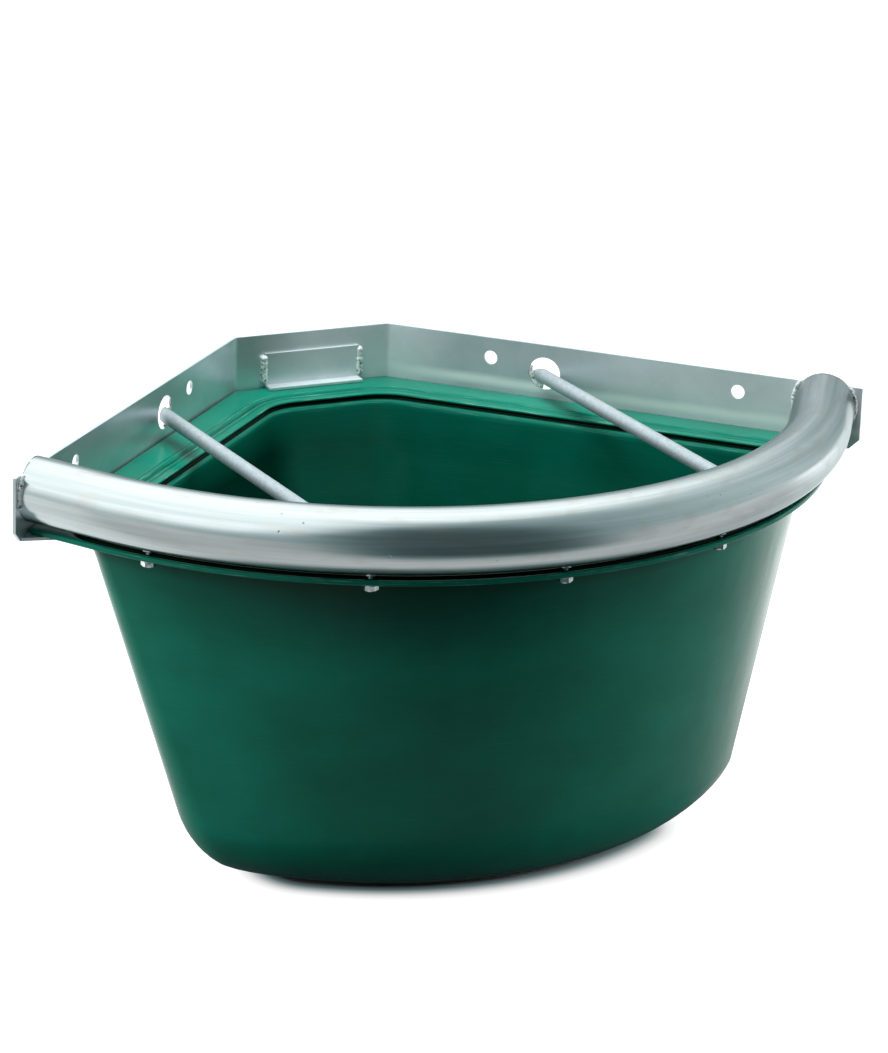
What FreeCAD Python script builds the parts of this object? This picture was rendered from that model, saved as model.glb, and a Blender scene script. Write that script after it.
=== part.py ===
"""Corner feed manger: a moulded bowl held in a galvanised wall frame with a front tube.

Every sketch and primitive is drawn in corner coordinates: the two walls' faces meet at
x = y = 0, the right leg runs along +X, the left leg along -Y, and z = 0 is the floor under
the bowl. One placement then shifts each piece, so that the origin lies under the middle of
the whole manger. Lengths are millimetres and angles are degrees.
"""
import FreeCAD, Part
import math
import os

import Sketcher

doc = FreeCAD.newDocument("corner_manger")

# Driving dimensions

DIMENSIONS = [
    ("leg_length", 608, "wall corner to the end of each leg of the frame"),
    ("corner_cut", 115, "wall corner to each bend of the frame"),
    ("plate_thick", 3, "frame sheet"),
    ("bend_radius", 8, "inside of the two bends"),
    ("frame_rise", 54, "top of the bowl's rim to the top of the frame"),
    ("shelf_width", 30, "flange that carries the rim"),
    ("shelf_cut", 20, "how far the flange's front end is cut back"),
    ("end_chamfer", 10, "lower front corner of each leg"),
    ("tube_dia", 60.3, "front tube"),
    ("tube_wall", 2.9, "front tube's wall"),
    ("tube_gap", 4.2, "top of the rim to the underside of the tube"),
    ("tube_setback", 36.7, "end of each leg to the tube's centre there"),
    ("tube_lean", 12.9, "the tube's ends lean outward by this angle"),
    ("tube_straight", 78, "straight stretch at each end of the tube"),
    ("bar_dia", 14, "anti-tip bars"),
    ("bar_place", 283, "wall corner to each bar, along the leg"),
    ("bar_heading", 41.4, "angle of the bars from the right leg"),
    ("bar_drop", 32.4, "top of the frame to the bars' axis"),
    ("bar_hole_dia", 33, "hole that a bar passes through"),
    ("bar_hole_drop", 29.5, "top of the frame to that hole's centre"),
    ("mount_dia", 14, "wall fixing holes"),
    ("mount_near", 226, "wall corner to the nearer fixing hole"),
    ("mount_spacing", 257, "between the two fixing holes of a leg"),
    ("mount_drop", 20.5, "top of the frame to the fixing holes"),
    ("vent_dia", 16, "zinc vent hole beside the tube's end"),
    ("vent_setback", 25.3, "the tube's centre to the vent hole, along the leg"),
    ("vent_drop", 27.5, "top of the frame to the vent hole"),
    ("clip_length", 100, "hold-down clip"),
    ("clip_drop", 18.5, "top of the frame to the top of the clip"),
    ("clip_foot", 12, "how far the clip's foot reaches over the rim"),
    ("clip_thick", 3, "clip's sheet"),
    ("rim_height", 345, "floor to the top of the rim"),
    ("rim_thick", 4.7, "rim"),
    ("rim_gap", 1.5, "rim to the frame's sheet"),
    ("rim_overhang", 11.5, "tube's centre line to the rim's front edge"),
    ("bead_height", 2, "raised bead round the mouth"),
    ("bead_width", 5, "that bead's width"),
    ("bead_inset", 15.9, "mouth's edge to the bead"),
    ("lip", 2, "the mouth's edge stands this far inside the wall"),
    ("wall_thick", 4, "bowl's wall and floor"),
    ("mouth_side", 45.9, "frame to the bowl's outside, under the rim"),
    ("mouth_cut", 45, "the same at the cut corner"),
    ("mouth_front", 11.5, "tube's centre line to the bowl's outside, under the rim"),
    ("mouth_corner", 30, "rounding of the bowl's front corners, under the rim"),
    ("mouth_rear", 60, "rounding of the bowl's rear corners, under the rim"),
    ("base_side", 109.8, "frame to the bowl's outside, where the base rounding starts"),
    ("base_cut", 130, "the same at the cut corner"),
    ("base_front", 53.1, "the bowl's front arc there has a radius this much under the tube's"),
    ("base_shift", 4.3, "and its centre lies this much further from the walls"),
    ("base_corner", 61.6, "rounding of the front corners there"),
    ("base_rear", 60, "rounding of the rear corners there"),
    ("base_round", 96.4, "rounding from the bowl's wall into its base"),
    ("least_corner", 20, "smallest corner rounding of the flat base"),
    ("bolt_dia", 8, "rim bolts"),
    ("bolt_length", 25, "rim bolt's shank"),
    ("head_width", 13, "across the bolt head's flats"),
    ("head_height", 5.3, "bolt head"),
    ("washer_dia", 16, "rim washers"),
    ("washer_thick", 1.6, "rim washers"),
    ("hole_room", 1, "bolt to the hole in the rim, on the diameter"),
    ("thread_room", 0.2, "bolt to the washer's and the nut's bore, on the diameter"),
    ("bolt_spread_inner", 23.7, "angle from the middle bolt to the next"),
    ("bolt_spread_outer", 51.1, "angle from the middle bolt to the outer ones"),
    ("nut_dia", 11, "body of the rivet nuts in the tube"),
    ("nut_length", 14, "that body"),
    ("nut_flange_dia", 14, "flange of the rivet nuts"),
    ("nut_flange_thick", 1.2, "flange of the rivet nuts"),
    ("end_weld_size", 6, "weld round the tube's end"),
    ("end_weld_low", 30, "top of the frame down to the end of that weld"),
    ("bar_weld_size", 5, "weld between a bar and the tube"),
    ("clip_weld_size", 5, "welds at the clip's ends"),
    ("clip_weld_length", 22, "length of the welds at the clip's ends"),
    ("seat_gap", 0.3, "between pieces that only rest on each other"),
    ("weld_gap", 0.05, "between a weld and the curved piece that it joins"),
]

PLACES = [
    ("rim_under", "dims.rim_height - dims.rim_thick"),
    ("frame_top", "dims.rim_height + dims.frame_rise"),
    ("shelf_top", "rim_under - dims.seat_gap"),
    ("frame_foot", "shelf_top - dims.plate_thick"),
    ("tube_reach", "dims.leg_length - dims.tube_setback"),
    ("arc_radius", "(tube_reach + dims.tube_straight * (sin(dims.tube_lean * 1 deg)"
                   " - cos(dims.tube_lean * 1 deg)))"
                   " / (cos(dims.tube_lean * 1 deg) + sin(dims.tube_lean * 1 deg))"),
    ("arc_centre", "tube_reach + dims.tube_straight * sin(dims.tube_lean * 1 deg)"
                   " - arc_radius * cos(dims.tube_lean * 1 deg)"),
    ("tube_under", "dims.rim_height + dims.tube_gap"),
    ("tube_height", "tube_under + dims.tube_dia / 2"),
    ("half_span", "(arc_centre + arc_radius + dims.tube_dia / 2 - dims.plate_thick) / 2"),
    ("bar_height", "frame_top - dims.bar_drop"),
    ("bar_reach_square", "arc_radius ^ 2 - (dims.bar_place - arc_centre) ^ 2 - arc_centre ^ 2"),
    ("bar_lead_right", "arc_centre * sin(dims.bar_heading * 1 deg)"
                       " - (dims.bar_place - arc_centre) * cos(dims.bar_heading * 1 deg)"),
    ("bar_lead_left", "arc_centre * cos(dims.bar_heading * 1 deg)"
                      " - (dims.bar_place - arc_centre) * sin(dims.bar_heading * 1 deg)"),
    ("bar_run_right", "bar_lead_right + sqrt(bar_lead_right ^ 2 + bar_reach_square)"),
    ("bar_run_left", "bar_lead_left + sqrt(bar_lead_left ^ 2 + bar_reach_square)"),
    ("head_under", "rim_under - dims.washer_thick"),
]

SHEET_ROW = "{}{}"


def fill_sheet(name, rows):
    """Make a sheet with one aliased cell for each row."""
    sheet = doc.addObject("Spreadsheet::Sheet", name)
    for number, row in enumerate(rows, start=1):
        cell = SHEET_ROW.format("B", number)
        content = row[1]
        sheet.set(SHEET_ROW.format("A", number), row[0])
        sheet.set(cell, "=" + content if isinstance(content, str) else str(content))
        sheet.setAlias(cell, row[0])
        if len(row) > 2:
            sheet.set(SHEET_ROW.format("C", number), row[2])
    doc.recompute()
    return sheet


dims = fill_sheet("dims", DIMENSIONS)
places = fill_sheet("places", PLACES)


def value(expression):
    """Number that an expression gives."""
    return float(dims.evalExpression(expression))


# Helpers for bodies and sketches

BEYOND = 40
"""How far a cutting tool reaches past what it cuts."""

pieces = []


def finish_piece(piece, label):
    """Name a piece and shift it from corner coordinates to the manger's own frame."""
    piece.Label = label
    pieces.append(piece)


def shift_piece(piece, label):
    """Place a piece that is drawn in corner coordinates."""
    piece.setExpression("Placement.Base.x", "-places.half_span")
    piece.setExpression("Placement.Base.y", "places.half_span")
    finish_piece(piece, label)


def new_body(label):
    return doc.addObject("PartDesign::Body", label + "_body")


def plane_of(body, role):
    for feature in body.Origin.OriginFeatures:
        if feature.Role == role:
            return feature
    raise ValueError(role)


def new_sketch(body, name, role="XY_Plane", offset="0"):
    """Sketch on one of the body's origin planes, moved along its normal by an expression."""
    sketch = body.newObject("Sketcher::SketchObject", name)
    sketch.AttachmentSupport = [(plane_of(body, role), "")]
    sketch.MapMode = "FlatFace"
    sketch.setExpression("AttachmentOffset.Base.z", offset)
    return sketch


def bind(sketch, name, expression, kind, *where):
    """Add a dimension to a sketch and tie it to an expression."""
    index = sketch.addConstraint(Sketcher.Constraint(kind, *where, value(expression)))
    sketch.renameConstraint(index, name)
    sketch.setExpression("Constraints." + name, expression)


def polygon(sketch, corners):
    """Closed polygon whose corners are pairs of expressions."""
    points = [FreeCAD.Vector(value(across), value(up), 0) for across, up in corners]
    first = sketch.GeometryCount
    count = len(points)
    for index, start in enumerate(points):
        sketch.addGeometry(Part.LineSegment(start, points[(index + 1) % count]), False)
    for index in range(count):
        following = first + (index + 1) % count
        sketch.addConstraint(Sketcher.Constraint("Coincident", first + index, 2, following, 1))
    for index, (across, up) in enumerate(corners):
        bind(sketch, f"across{first + index}", across, "DistanceX", -1, 1, first + index, 1)
        bind(sketch, f"up{first + index}", up, "DistanceY", -1, 1, first + index, 1)


def circle(sketch, across, up, diameter):
    """Circle whose centre and diameter are expressions."""
    centre = FreeCAD.Vector(value(across), value(up), 0)
    ring = Part.Circle(centre, FreeCAD.Vector(0, 0, 1), value(diameter) / 2)
    index = sketch.addGeometry(ring, False)
    bind(sketch, f"across{index}", across, "DistanceX", -1, 1, index, 3)
    bind(sketch, f"up{index}", up, "DistanceY", -1, 1, index, 3)
    bind(sketch, f"diameter{index}", diameter, "Diameter", index)


def arc(sketch, centre, radius, start, end):
    """Arc, anticlockwise from one angle in degrees to another."""
    ring = Part.Circle(FreeCAD.Vector(*centre, 0), FreeCAD.Vector(0, 0, 1), radius)
    sketch.addGeometry(Part.ArcOfCircle(ring, math.radians(start), math.radians(end)), False)


def line(sketch, start, end):
    sketch.addGeometry(Part.LineSegment(FreeCAD.Vector(*start, 0), FreeCAD.Vector(*end, 0)), False)


def pad(body, name, sketch, length, downward=False):
    feature = body.newObject("PartDesign::Pad", name)
    feature.Profile = sketch
    feature.Reversed = downward
    feature.setExpression("Length", length)
    return feature


def pocket(body, name, sketch, length):
    """Pocket that must take material away."""
    doc.recompute()
    before = body.Shape.Volume
    feature = body.newObject("PartDesign::Pocket", name)
    feature.Profile = sketch
    feature.setExpression("Length", length)
    doc.recompute()
    if body.Shape.Volume >= before - 1:
        raise ValueError(name + " cuts nothing")
    return feature


def rounded_outline(sketch, side, cut, front, centre, corner, rear):
    """The bowl's plan at one height. A sketch can hold several.

    Two sides stand off the walls by side, the rear cut stands off the frame's cut by cut,
    and the front is an arc. The front corners and the rear corners are rounded.
    """
    off = value(side)
    slant = value("dims.corner_cut") + value(cut) * math.sqrt(2)
    radius = value(front)
    middle = value(centre)
    fore = value(corner)
    back = value(rear)
    tangent = back * math.tan(math.radians(22.5))
    bend = slant - off + tangent
    inner = radius - fore
    corner_x = middle + math.sqrt(inner ** 2 - (middle - off - fore) ** 2)
    tilt = math.degrees(math.atan2(middle - off - fore, corner_x - middle))
    slope = tangent * math.sqrt(0.5)
    first = sketch.GeometryCount
    line(sketch, (corner_x, -off), (bend, -off))
    arc(sketch, (bend, -off - back), back, 90, 135)
    line(sketch, (slant - off - slope, -off - slope), (off + slope, off + slope - slant))
    arc(sketch, (off + back, -bend), back, 135, 180)
    line(sketch, (off, -bend), (off, -corner_x))
    arc(sketch, (off + fore, -corner_x), fore, 180, 270 - tilt)
    arc(sketch, (middle, -middle), radius, 270 - tilt, 360 + tilt)
    arc(sketch, (corner_x, -off - fore), fore, tilt, 90)
    right, right_rear, rear_line, left_rear, left, left_fore, arc_front, right_fore = range(
        first, sketch.GeometryCount)
    for index in range(right, right_fore):
        sketch.addConstraint(Sketcher.Constraint("Tangent", index, 2, index + 1, 1))
    sketch.addConstraint(Sketcher.Constraint("Tangent", right_fore, 2, right, 1))
    sketch.addConstraint(Sketcher.Constraint("Horizontal", right))
    sketch.addConstraint(Sketcher.Constraint("Vertical", left))
    sketch.addConstraint(Sketcher.Constraint("Angle", rear_line, math.radians(-135)))
    bind(sketch, f"right_side{first}", side, "DistanceY", right, 1, -1, 1)
    bind(sketch, f"left_side{first}", side, "DistanceX", -1, 1, left, 1)
    bind(sketch, f"rear_cut{first}", f"dims.corner_cut / sqrt(2) + {cut}",
         "Distance", -1, 1, rear_line)
    bind(sketch, f"centre_x{first}", centre, "DistanceX", -1, 1, arc_front, 3)
    bind(sketch, f"centre_y{first}", centre, "DistanceY", arc_front, 3, -1, 1)
    bind(sketch, f"front{first}", front, "Radius", arc_front)
    bind(sketch, f"left_corner{first}", corner, "Radius", left_fore)
    bind(sketch, f"right_corner{first}", corner, "Radius", right_fore)
    bind(sketch, f"right_rear{first}", rear, "Radius", right_rear)
    bind(sketch, f"left_rear{first}", rear, "Radius", left_rear)


def rim_outline(sketch):
    """Plan of the rim: along both walls and the cut, and along the tube's line in front."""
    gap = value("dims.rim_gap")
    slant = value("dims.corner_cut") + gap * math.sqrt(2)
    radius = value("places.arc_radius + dims.rim_overhang")
    middle = value("places.arc_centre")
    lean = math.radians(value("dims.tube_lean"))
    turn_x = middle + radius * math.cos(lean)
    turn_y = -middle + radius * math.sin(lean)
    end_x = turn_x + (turn_y + gap) * math.tan(lean)
    line(sketch, (end_x, -gap), (slant - gap, -gap))
    line(sketch, (slant - gap, -gap), (gap, gap - slant))
    line(sketch, (gap, gap - slant), (gap, -end_x))
    line(sketch, (gap, -end_x), (-turn_y, -turn_x))
    arc(sketch, (middle, -middle), radius, 270 - math.degrees(lean), 360 + math.degrees(lean))
    line(sketch, (turn_x, turn_y), (end_x, -gap))
    for start, end in ((0, 1), (1, 2), (2, 3), (5, 0)):
        sketch.addConstraint(Sketcher.Constraint("Coincident", start, 2, end, 1))
    for start, end in ((3, 4), (4, 5)):
        sketch.addConstraint(Sketcher.Constraint("Tangent", start, 2, end, 1))
    sketch.addConstraint(Sketcher.Constraint("Horizontal", 0))
    sketch.addConstraint(Sketcher.Constraint("Vertical", 2))
    sketch.addConstraint(Sketcher.Constraint("Angle", 1, math.radians(-135)))
    for edge, name, expression in ((3, "left_lean", "-dims.tube_lean * 1 deg"),
                                   (5, "right_lean", "(90 + dims.tube_lean) * 1 deg")):
        degrees = dims.evalExpression(expression).Value
        index = sketch.addConstraint(Sketcher.Constraint("Angle", edge, math.radians(degrees)))
        sketch.renameConstraint(index, name)
        sketch.setExpression("Constraints." + name, expression)
    bind(sketch, "right_side", "dims.rim_gap", "DistanceY", 0, 1, -1, 1)
    bind(sketch, "left_side", "dims.rim_gap", "DistanceX", -1, 1, 2, 1)
    bind(sketch, "rear_cut", "dims.corner_cut / sqrt(2) + dims.rim_gap", "Distance", -1, 1, 1)
    bind(sketch, "centre_x", "places.arc_centre", "DistanceX", -1, 1, 4, 3)
    bind(sketch, "centre_y", "places.arc_centre", "DistanceY", 4, 3, -1, 1)
    bind(sketch, "front", "places.arc_radius + dims.rim_overhang", "Radius", 4)


# Bowl

BASE_ANGLES = (0, 18, 36, 54, 72, 90)
"""Stations round the base rounding, from the wall down to the flat base."""

bolt_angles = {
    1: "-45 - dims.bolt_spread_outer",
    2: "-45 - dims.bolt_spread_inner",
    3: "-45",
    4: "-45 + dims.bolt_spread_inner",
    5: "-45 + dims.bolt_spread_outer",
}


def bolt_place(number):
    """Expressions for a rim bolt's place in plan, on the tube's centre line."""
    angle = f"(({bolt_angles[number]}) * 1 deg)"
    across = f"places.arc_centre + places.arc_radius * cos({angle})"
    up = f"-places.arc_centre + places.arc_radius * sin({angle})"
    return across, up


def bowl_sections(body, kind, thickness):
    """Sketches of the bowl's outside, or of its inside at a wall's thickness."""
    mouth = new_sketch(body, f"{kind}_mouth", offset="places.rim_under")
    rounded_outline(mouth, f"dims.mouth_side + {thickness}", f"dims.mouth_cut + {thickness}",
                    f"places.arc_radius - dims.mouth_front - {thickness}", "places.arc_centre",
                    f"dims.mouth_corner - {thickness}", f"dims.mouth_rear - {thickness}")
    sections = [mouth]
    for angle in BASE_ANGLES:
        inset = f"({thickness} + (dims.base_round - {thickness}) * (1 - cos({angle} deg)))"
        height = f"{thickness} + (dims.base_round - {thickness}) * (1 - sin({angle} deg))"
        sketch = new_sketch(body, f"{kind}_{angle}", offset=height)
        rounded_outline(sketch, f"dims.base_side + {inset}", f"dims.base_cut + {inset}",
                        f"places.arc_radius - dims.base_front - {inset}",
                        "places.arc_centre + dims.base_shift",
                        f"max(dims.base_corner - {inset}; dims.least_corner)",
                        f"max(dims.base_rear - {inset}; dims.least_corner)")
        sections.append(sketch)
    return sections


def loft(body, kind, name, sections):
    feature = body.newObject(kind, name)
    feature.Profile = sections[0]
    feature.Sections = sections[1:]
    feature.Ruled = True
    doc.recompute()
    return feature


def mouth_ring(sketch, inset):
    """Outline parallel to the bowl's outside under the rim, further in by an expression."""
    rounded_outline(sketch, f"dims.mouth_side + ({inset})", f"dims.mouth_cut + ({inset})",
                    f"places.arc_radius - dims.mouth_front - ({inset})", "places.arc_centre",
                    f"dims.mouth_corner - ({inset})", f"dims.mouth_rear - ({inset})")


def make_bowl():
    body = new_body("feed_bowl")
    rim = new_sketch(body, "rim_plan", offset="places.rim_under")
    rim_outline(rim)
    pad(body, "rim", rim, "dims.rim_thick")
    bead = new_sketch(body, "bead_plan", offset="dims.rim_height")
    for inset in ("dims.bead_inset + dims.bead_width", "dims.bead_inset"):
        mouth_ring(bead, f"dims.lip + dims.wall_thick - ({inset})")
    pad(body, "bead", bead, "dims.bead_height")
    loft(body, "PartDesign::AdditiveLoft", "outside", bowl_sections(body, "outside", "0"))
    loft(body, "PartDesign::SubtractiveLoft", "inside",
         bowl_sections(body, "inside", "dims.wall_thick"))
    mouth = new_sketch(body, "mouth_plan", offset="dims.rim_height")
    mouth_ring(mouth, "dims.lip + dims.wall_thick")
    pocket(body, "mouth", mouth, "dims.rim_thick")
    holes = new_sketch(body, "bolt_holes_plan", offset="dims.rim_height + dims.bead_height")
    for number in bolt_angles:
        across, up = bolt_place(number)
        circle(holes, across, up, "dims.bolt_dia + dims.hole_room")
    pocket(body, "bolt_holes", holes, "dims.rim_thick + dims.bead_height")
    shift_piece(body, "feed_bowl")


# Wall frame

def bent_strip(sketch, inner, outer, start, end):
    """Plan of a strip along both walls and the cut, from one offset inward to another.

    start and end are expressions for where the strip stops along the legs, at its wall side
    and at its inner side.
    """
    turn = "tan(22.5 deg)"
    polygon(sketch, [
        (start, f"-({outer})"),
        (f"dims.corner_cut + ({outer}) * {turn}", f"-({outer})"),
        (outer, f"-(dims.corner_cut + ({outer}) * {turn})"),
        (outer, f"-({start})"),
        (inner, f"-({end})"),
        (inner, f"-(dims.corner_cut + ({inner}) * {turn})"),
        (f"dims.corner_cut + ({inner}) * {turn}", f"-({inner})"),
        (end, f"-({inner})"),
    ])


def upright_edges(shape, places_in_plan):
    """Names of the upright edges that stand at the given places in plan."""
    names = []
    for number, edge in enumerate(shape.Edges, start=1):
        start = edge.Vertexes[0].Point
        end = edge.Vertexes[-1].Point
        if abs(start.x - end.x) + abs(start.y - end.y) > 1e-6:
            continue
        if any(math.hypot(start.x - x, start.y - y) < 1e-3 for x, y in places_in_plan):
            names.append(f"Edge{number}")
    return names


def round_bends(body, plan):
    """Round both upright bends of the sheet, inside and outside."""
    doc.recompute()
    cut = value("dims.corner_cut")
    back = value("dims.plate_thick") * math.tan(math.radians(22.5))
    thick = value("dims.plate_thick")
    for name, radius, bends in (
            ("inside_bends", "dims.bend_radius", [(cut, 0), (0, -cut)]),
            ("outside_bends", "dims.bend_radius + dims.plate_thick",
             [(cut - back, thick), (-thick, back - cut)])):
        feature = body.newObject("PartDesign::Fillet", name)
        feature.Base = (plan, upright_edges(plan.Shape, bends))
        feature.setExpression("Radius", radius)
        doc.recompute()
        plan = feature


LEG_VIEWS = (
    ("right", "XZ_Plane", 1),
    ("left", "YZ_Plane", -1),
)
"""Each leg's name, the origin plane that it lies along, and the sign of its run there."""


def make_wall_frame():
    body = new_body("wall_frame")
    sheet = new_sketch(body, "sheet_plan", offset="places.frame_foot")
    bent_strip(sheet, "0", "-dims.plate_thick", "dims.leg_length", "dims.leg_length")
    upright = pad(body, "sheet", sheet, "places.frame_top - places.frame_foot")
    round_bends(body, upright)
    shelf = new_sketch(body, "shelf_plan", offset="places.frame_foot")
    sunk = "-dims.plate_thick / 2"
    bent_strip(shelf, "dims.shelf_width", sunk, "dims.leg_length - dims.end_chamfer",
               "dims.leg_length - dims.end_chamfer - dims.shelf_cut")
    pad(body, "shelf", shelf, "dims.plate_thick")
    for side, role, sign in LEG_VIEWS:
        holes = new_sketch(body, f"{side}_holes", role)
        run = "" if sign > 0 else "-"
        circle(holes, f"{run}dims.mount_near", "places.frame_top - dims.mount_drop",
               "dims.mount_dia")
        circle(holes, f"{run}(dims.mount_near + dims.mount_spacing)",
               "places.frame_top - dims.mount_drop", "dims.mount_dia")
        circle(holes, f"{run}(places.tube_reach - dims.vent_setback)", "places.frame_top - dims.vent_drop",
               "dims.vent_dia")
        circle(holes, f"{run}dims.bar_place", "places.frame_top - dims.bar_hole_drop",
               "dims.bar_hole_dia")
        polygon(holes, [
            (f"{run}dims.leg_length", "places.frame_foot"),
            (f"{run}dims.leg_length", "places.frame_foot + dims.end_chamfer"),
            (f"{run}(dims.leg_length - dims.end_chamfer)", "places.frame_foot"),
        ])
        pocket(body, f"{side}_cuts", holes, "dims.plate_thick")
    shift_piece(body, "wall_frame")


# Front tube, as an arc with a leaning straight at each end

def axis_turn(piece, x, y, z, angle):
    """Turn a primitive about an axis. All four are expressions."""
    piece.setExpression("Placement.Rotation.Axis.x", x)
    piece.setExpression("Placement.Rotation.Axis.y", y)
    piece.setExpression("Placement.Rotation.Axis.z", z)
    piece.setExpression("Placement.Rotation.Angle", angle)


def stand_at(piece, x, y, z):
    piece.setExpression("Placement.Base.x", x)
    piece.setExpression("Placement.Base.y", y)
    piece.setExpression("Placement.Base.z", z)


LEAN_SIN = "sin(dims.tube_lean * 1 deg)"
LEAN_COS = "cos(dims.tube_lean * 1 deg)"
TURN_FAR = f"(places.arc_centre + places.arc_radius * {LEAN_COS})"
TURN_NEAR = f"(places.arc_centre - places.arc_radius * {LEAN_SIN})"


def lay_along(piece, heading_x, heading_y):
    """Lay an upright primitive level, so that its axis points along a heading in plan."""
    axis_turn(piece, f"-({heading_y})", heading_x, "0", "90")


def tube_run(name, radius):
    """Solid round run of the tube's whole line, past both legs."""
    bend = doc.addObject("Part::Torus", name + "_arc")
    bend.setExpression("Radius1", "places.arc_radius")
    bend.setExpression("Radius2", radius)
    bend.setExpression("Angle3", "(90 + 2 * dims.tube_lean) * 1 deg")
    stand_at(bend, "places.arc_centre", "-places.arc_centre", "places.tube_height")
    axis_turn(bend, "0", "0", "1", "-90 - dims.tube_lean")
    length = f"dims.tube_straight + {BEYOND}"
    right = doc.addObject("Part::Cylinder", name + "_right")
    right.setExpression("Radius", radius)
    right.setExpression("Height", length)
    stand_at(right, TURN_FAR, f"-{TURN_NEAR}", "places.tube_height")
    lay_along(right, f"-{LEAN_SIN}", LEAN_COS)
    left = doc.addObject("Part::Cylinder", name + "_left")
    left.setExpression("Radius", radius)
    left.setExpression("Height", length)
    stand_at(left, TURN_NEAR, f"-{TURN_FAR}", "places.tube_height")
    lay_along(left, f"-{LEAN_COS}", LEAN_SIN)
    return join(name, [bend, right, left])


def join(name, shapes):
    whole = doc.addObject("Part::MultiFuse", name)
    whole.Shapes = shapes
    return whole


def cut(name, base, tool):
    result = doc.addObject("Part::Cut", name)
    result.Base = base
    result.Tool = tool
    return result


def common(name, base, tool):
    result = doc.addObject("Part::Common", name)
    result.Base = base
    result.Tool = tool
    return result


def box(name, corner, size):
    """Box between expressions: its low corner and its three sizes."""
    solid = doc.addObject("Part::Box", name)
    for side, expression in zip(("Length", "Width", "Height"), size):
        solid.setExpression(side, expression)
    stand_at(solid, *corner)
    return solid


def past_walls(name, depth):
    """Two boxes that fill everything behind the legs, from a depth behind their faces."""
    reach = f"dims.leg_length + {2 * BEYOND}"
    tall = "places.frame_top * 2"
    right = box(name + "_right", (f"-{BEYOND}", depth, "0"), (reach, f"{2 * BEYOND}", tall))
    left = box(name + "_left", (f"-({depth}) - {2 * BEYOND}", f"-({reach})", "0"),
               (f"{2 * BEYOND}", f"{reach} + {BEYOND}", tall))
    return join(name, [right, left])


def upright_cylinder(name, place, foot, radius, height):
    solid = doc.addObject("Part::Cylinder", name)
    solid.setExpression("Radius", radius)
    solid.setExpression("Height", height)
    stand_at(solid, place[0], place[1], foot)
    return solid


def make_front_tube(tube_outside):
    bore = tube_run("tube_bore", "dims.tube_dia / 2 - dims.tube_wall")
    hollow = cut("tube_hollow", tube_outside, bore)
    walls = past_walls("tube_ends", "0")
    trimmed = cut("tube_trimmed", hollow, walls)
    drills = [
        upright_cylinder(f"nut_drill_{number}", bolt_place(number), f"places.tube_under - {BEYOND}",
                         "(dims.nut_dia + dims.thread_room) / 2", f"{BEYOND} + dims.tube_dia / 2")
        for number in bolt_angles
    ]
    tube = cut("tube_drilled", trimmed, join("nut_drills", drills))
    shift_piece(tube, "front_tube")


# Bars

HEADING = ("cos(dims.bar_heading * 1 deg)", "-sin(dims.bar_heading * 1 deg)")
BAR_STARTS = {
    "left": ("0", "-dims.bar_place", "places.bar_run_left"),
    "right": ("dims.bar_place", "0", "places.bar_run_right"),
}


def along_bar(side, distance):
    """Expressions for a point on a bar's axis, at a distance from its wall's face."""
    across, up, _ = BAR_STARTS[side]
    return (f"{across} + ({distance}) * {HEADING[0]}", f"{up} + ({distance}) * {HEADING[1]}",
            "places.bar_height")


def bar_run(name, side, radius, start, length):
    solid = doc.addObject("Part::Cylinder", name)
    solid.setExpression("Radius", radius)
    solid.setExpression("Height", length)
    stand_at(solid, *along_bar(side, start))
    lay_along(solid, *HEADING)
    return solid


def make_bar(side, tube_clear):
    """Bar from its wall, through the frame's hole, to the tube."""
    run = BAR_STARTS[side][2]
    whole = bar_run(f"{side}_bar_run", side, "dims.bar_dia / 2", f"-{BEYOND}", f"{run} + {BEYOND}")
    walls = past_walls(f"{side}_bar_end", "dims.plate_thick")
    bar = cut(f"{side}_bar_cut", cut(f"{side}_bar_trimmed", whole, walls), tube_clear)
    shift_piece(bar, f"{side}_bar")


def make_bar_weld(side, tube_clear):
    """Sloped collar of weld where a bar meets the tube."""
    run = BAR_STARTS[side][2]
    collar = doc.addObject("Part::Cone", f"{side}_collar")
    foot = f"({run} - dims.tube_dia / 2 - 2.6 * dims.bar_weld_size)"
    collar.setExpression("Radius1", "dims.bar_dia / 2 + dims.weld_gap * 4")
    collar.setExpression("Radius2", "dims.bar_dia / 2 + 2.2 * dims.bar_weld_size")
    collar.setExpression("Height", "4.4 * dims.bar_weld_size")
    stand_at(collar, *along_bar(side, foot))
    lay_along(collar, *HEADING)
    core = bar_run(f"{side}_collar_core", side, "dims.bar_dia / 2 + dims.weld_gap",
                   f"{foot} - {BEYOND}", f"{3 * BEYOND}")
    weld = cut(f"{side}_collar_cut", cut(f"{side}_collar_ring", collar, core), tube_clear)
    shift_piece(weld, f"{side}_bar_weld")


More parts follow.
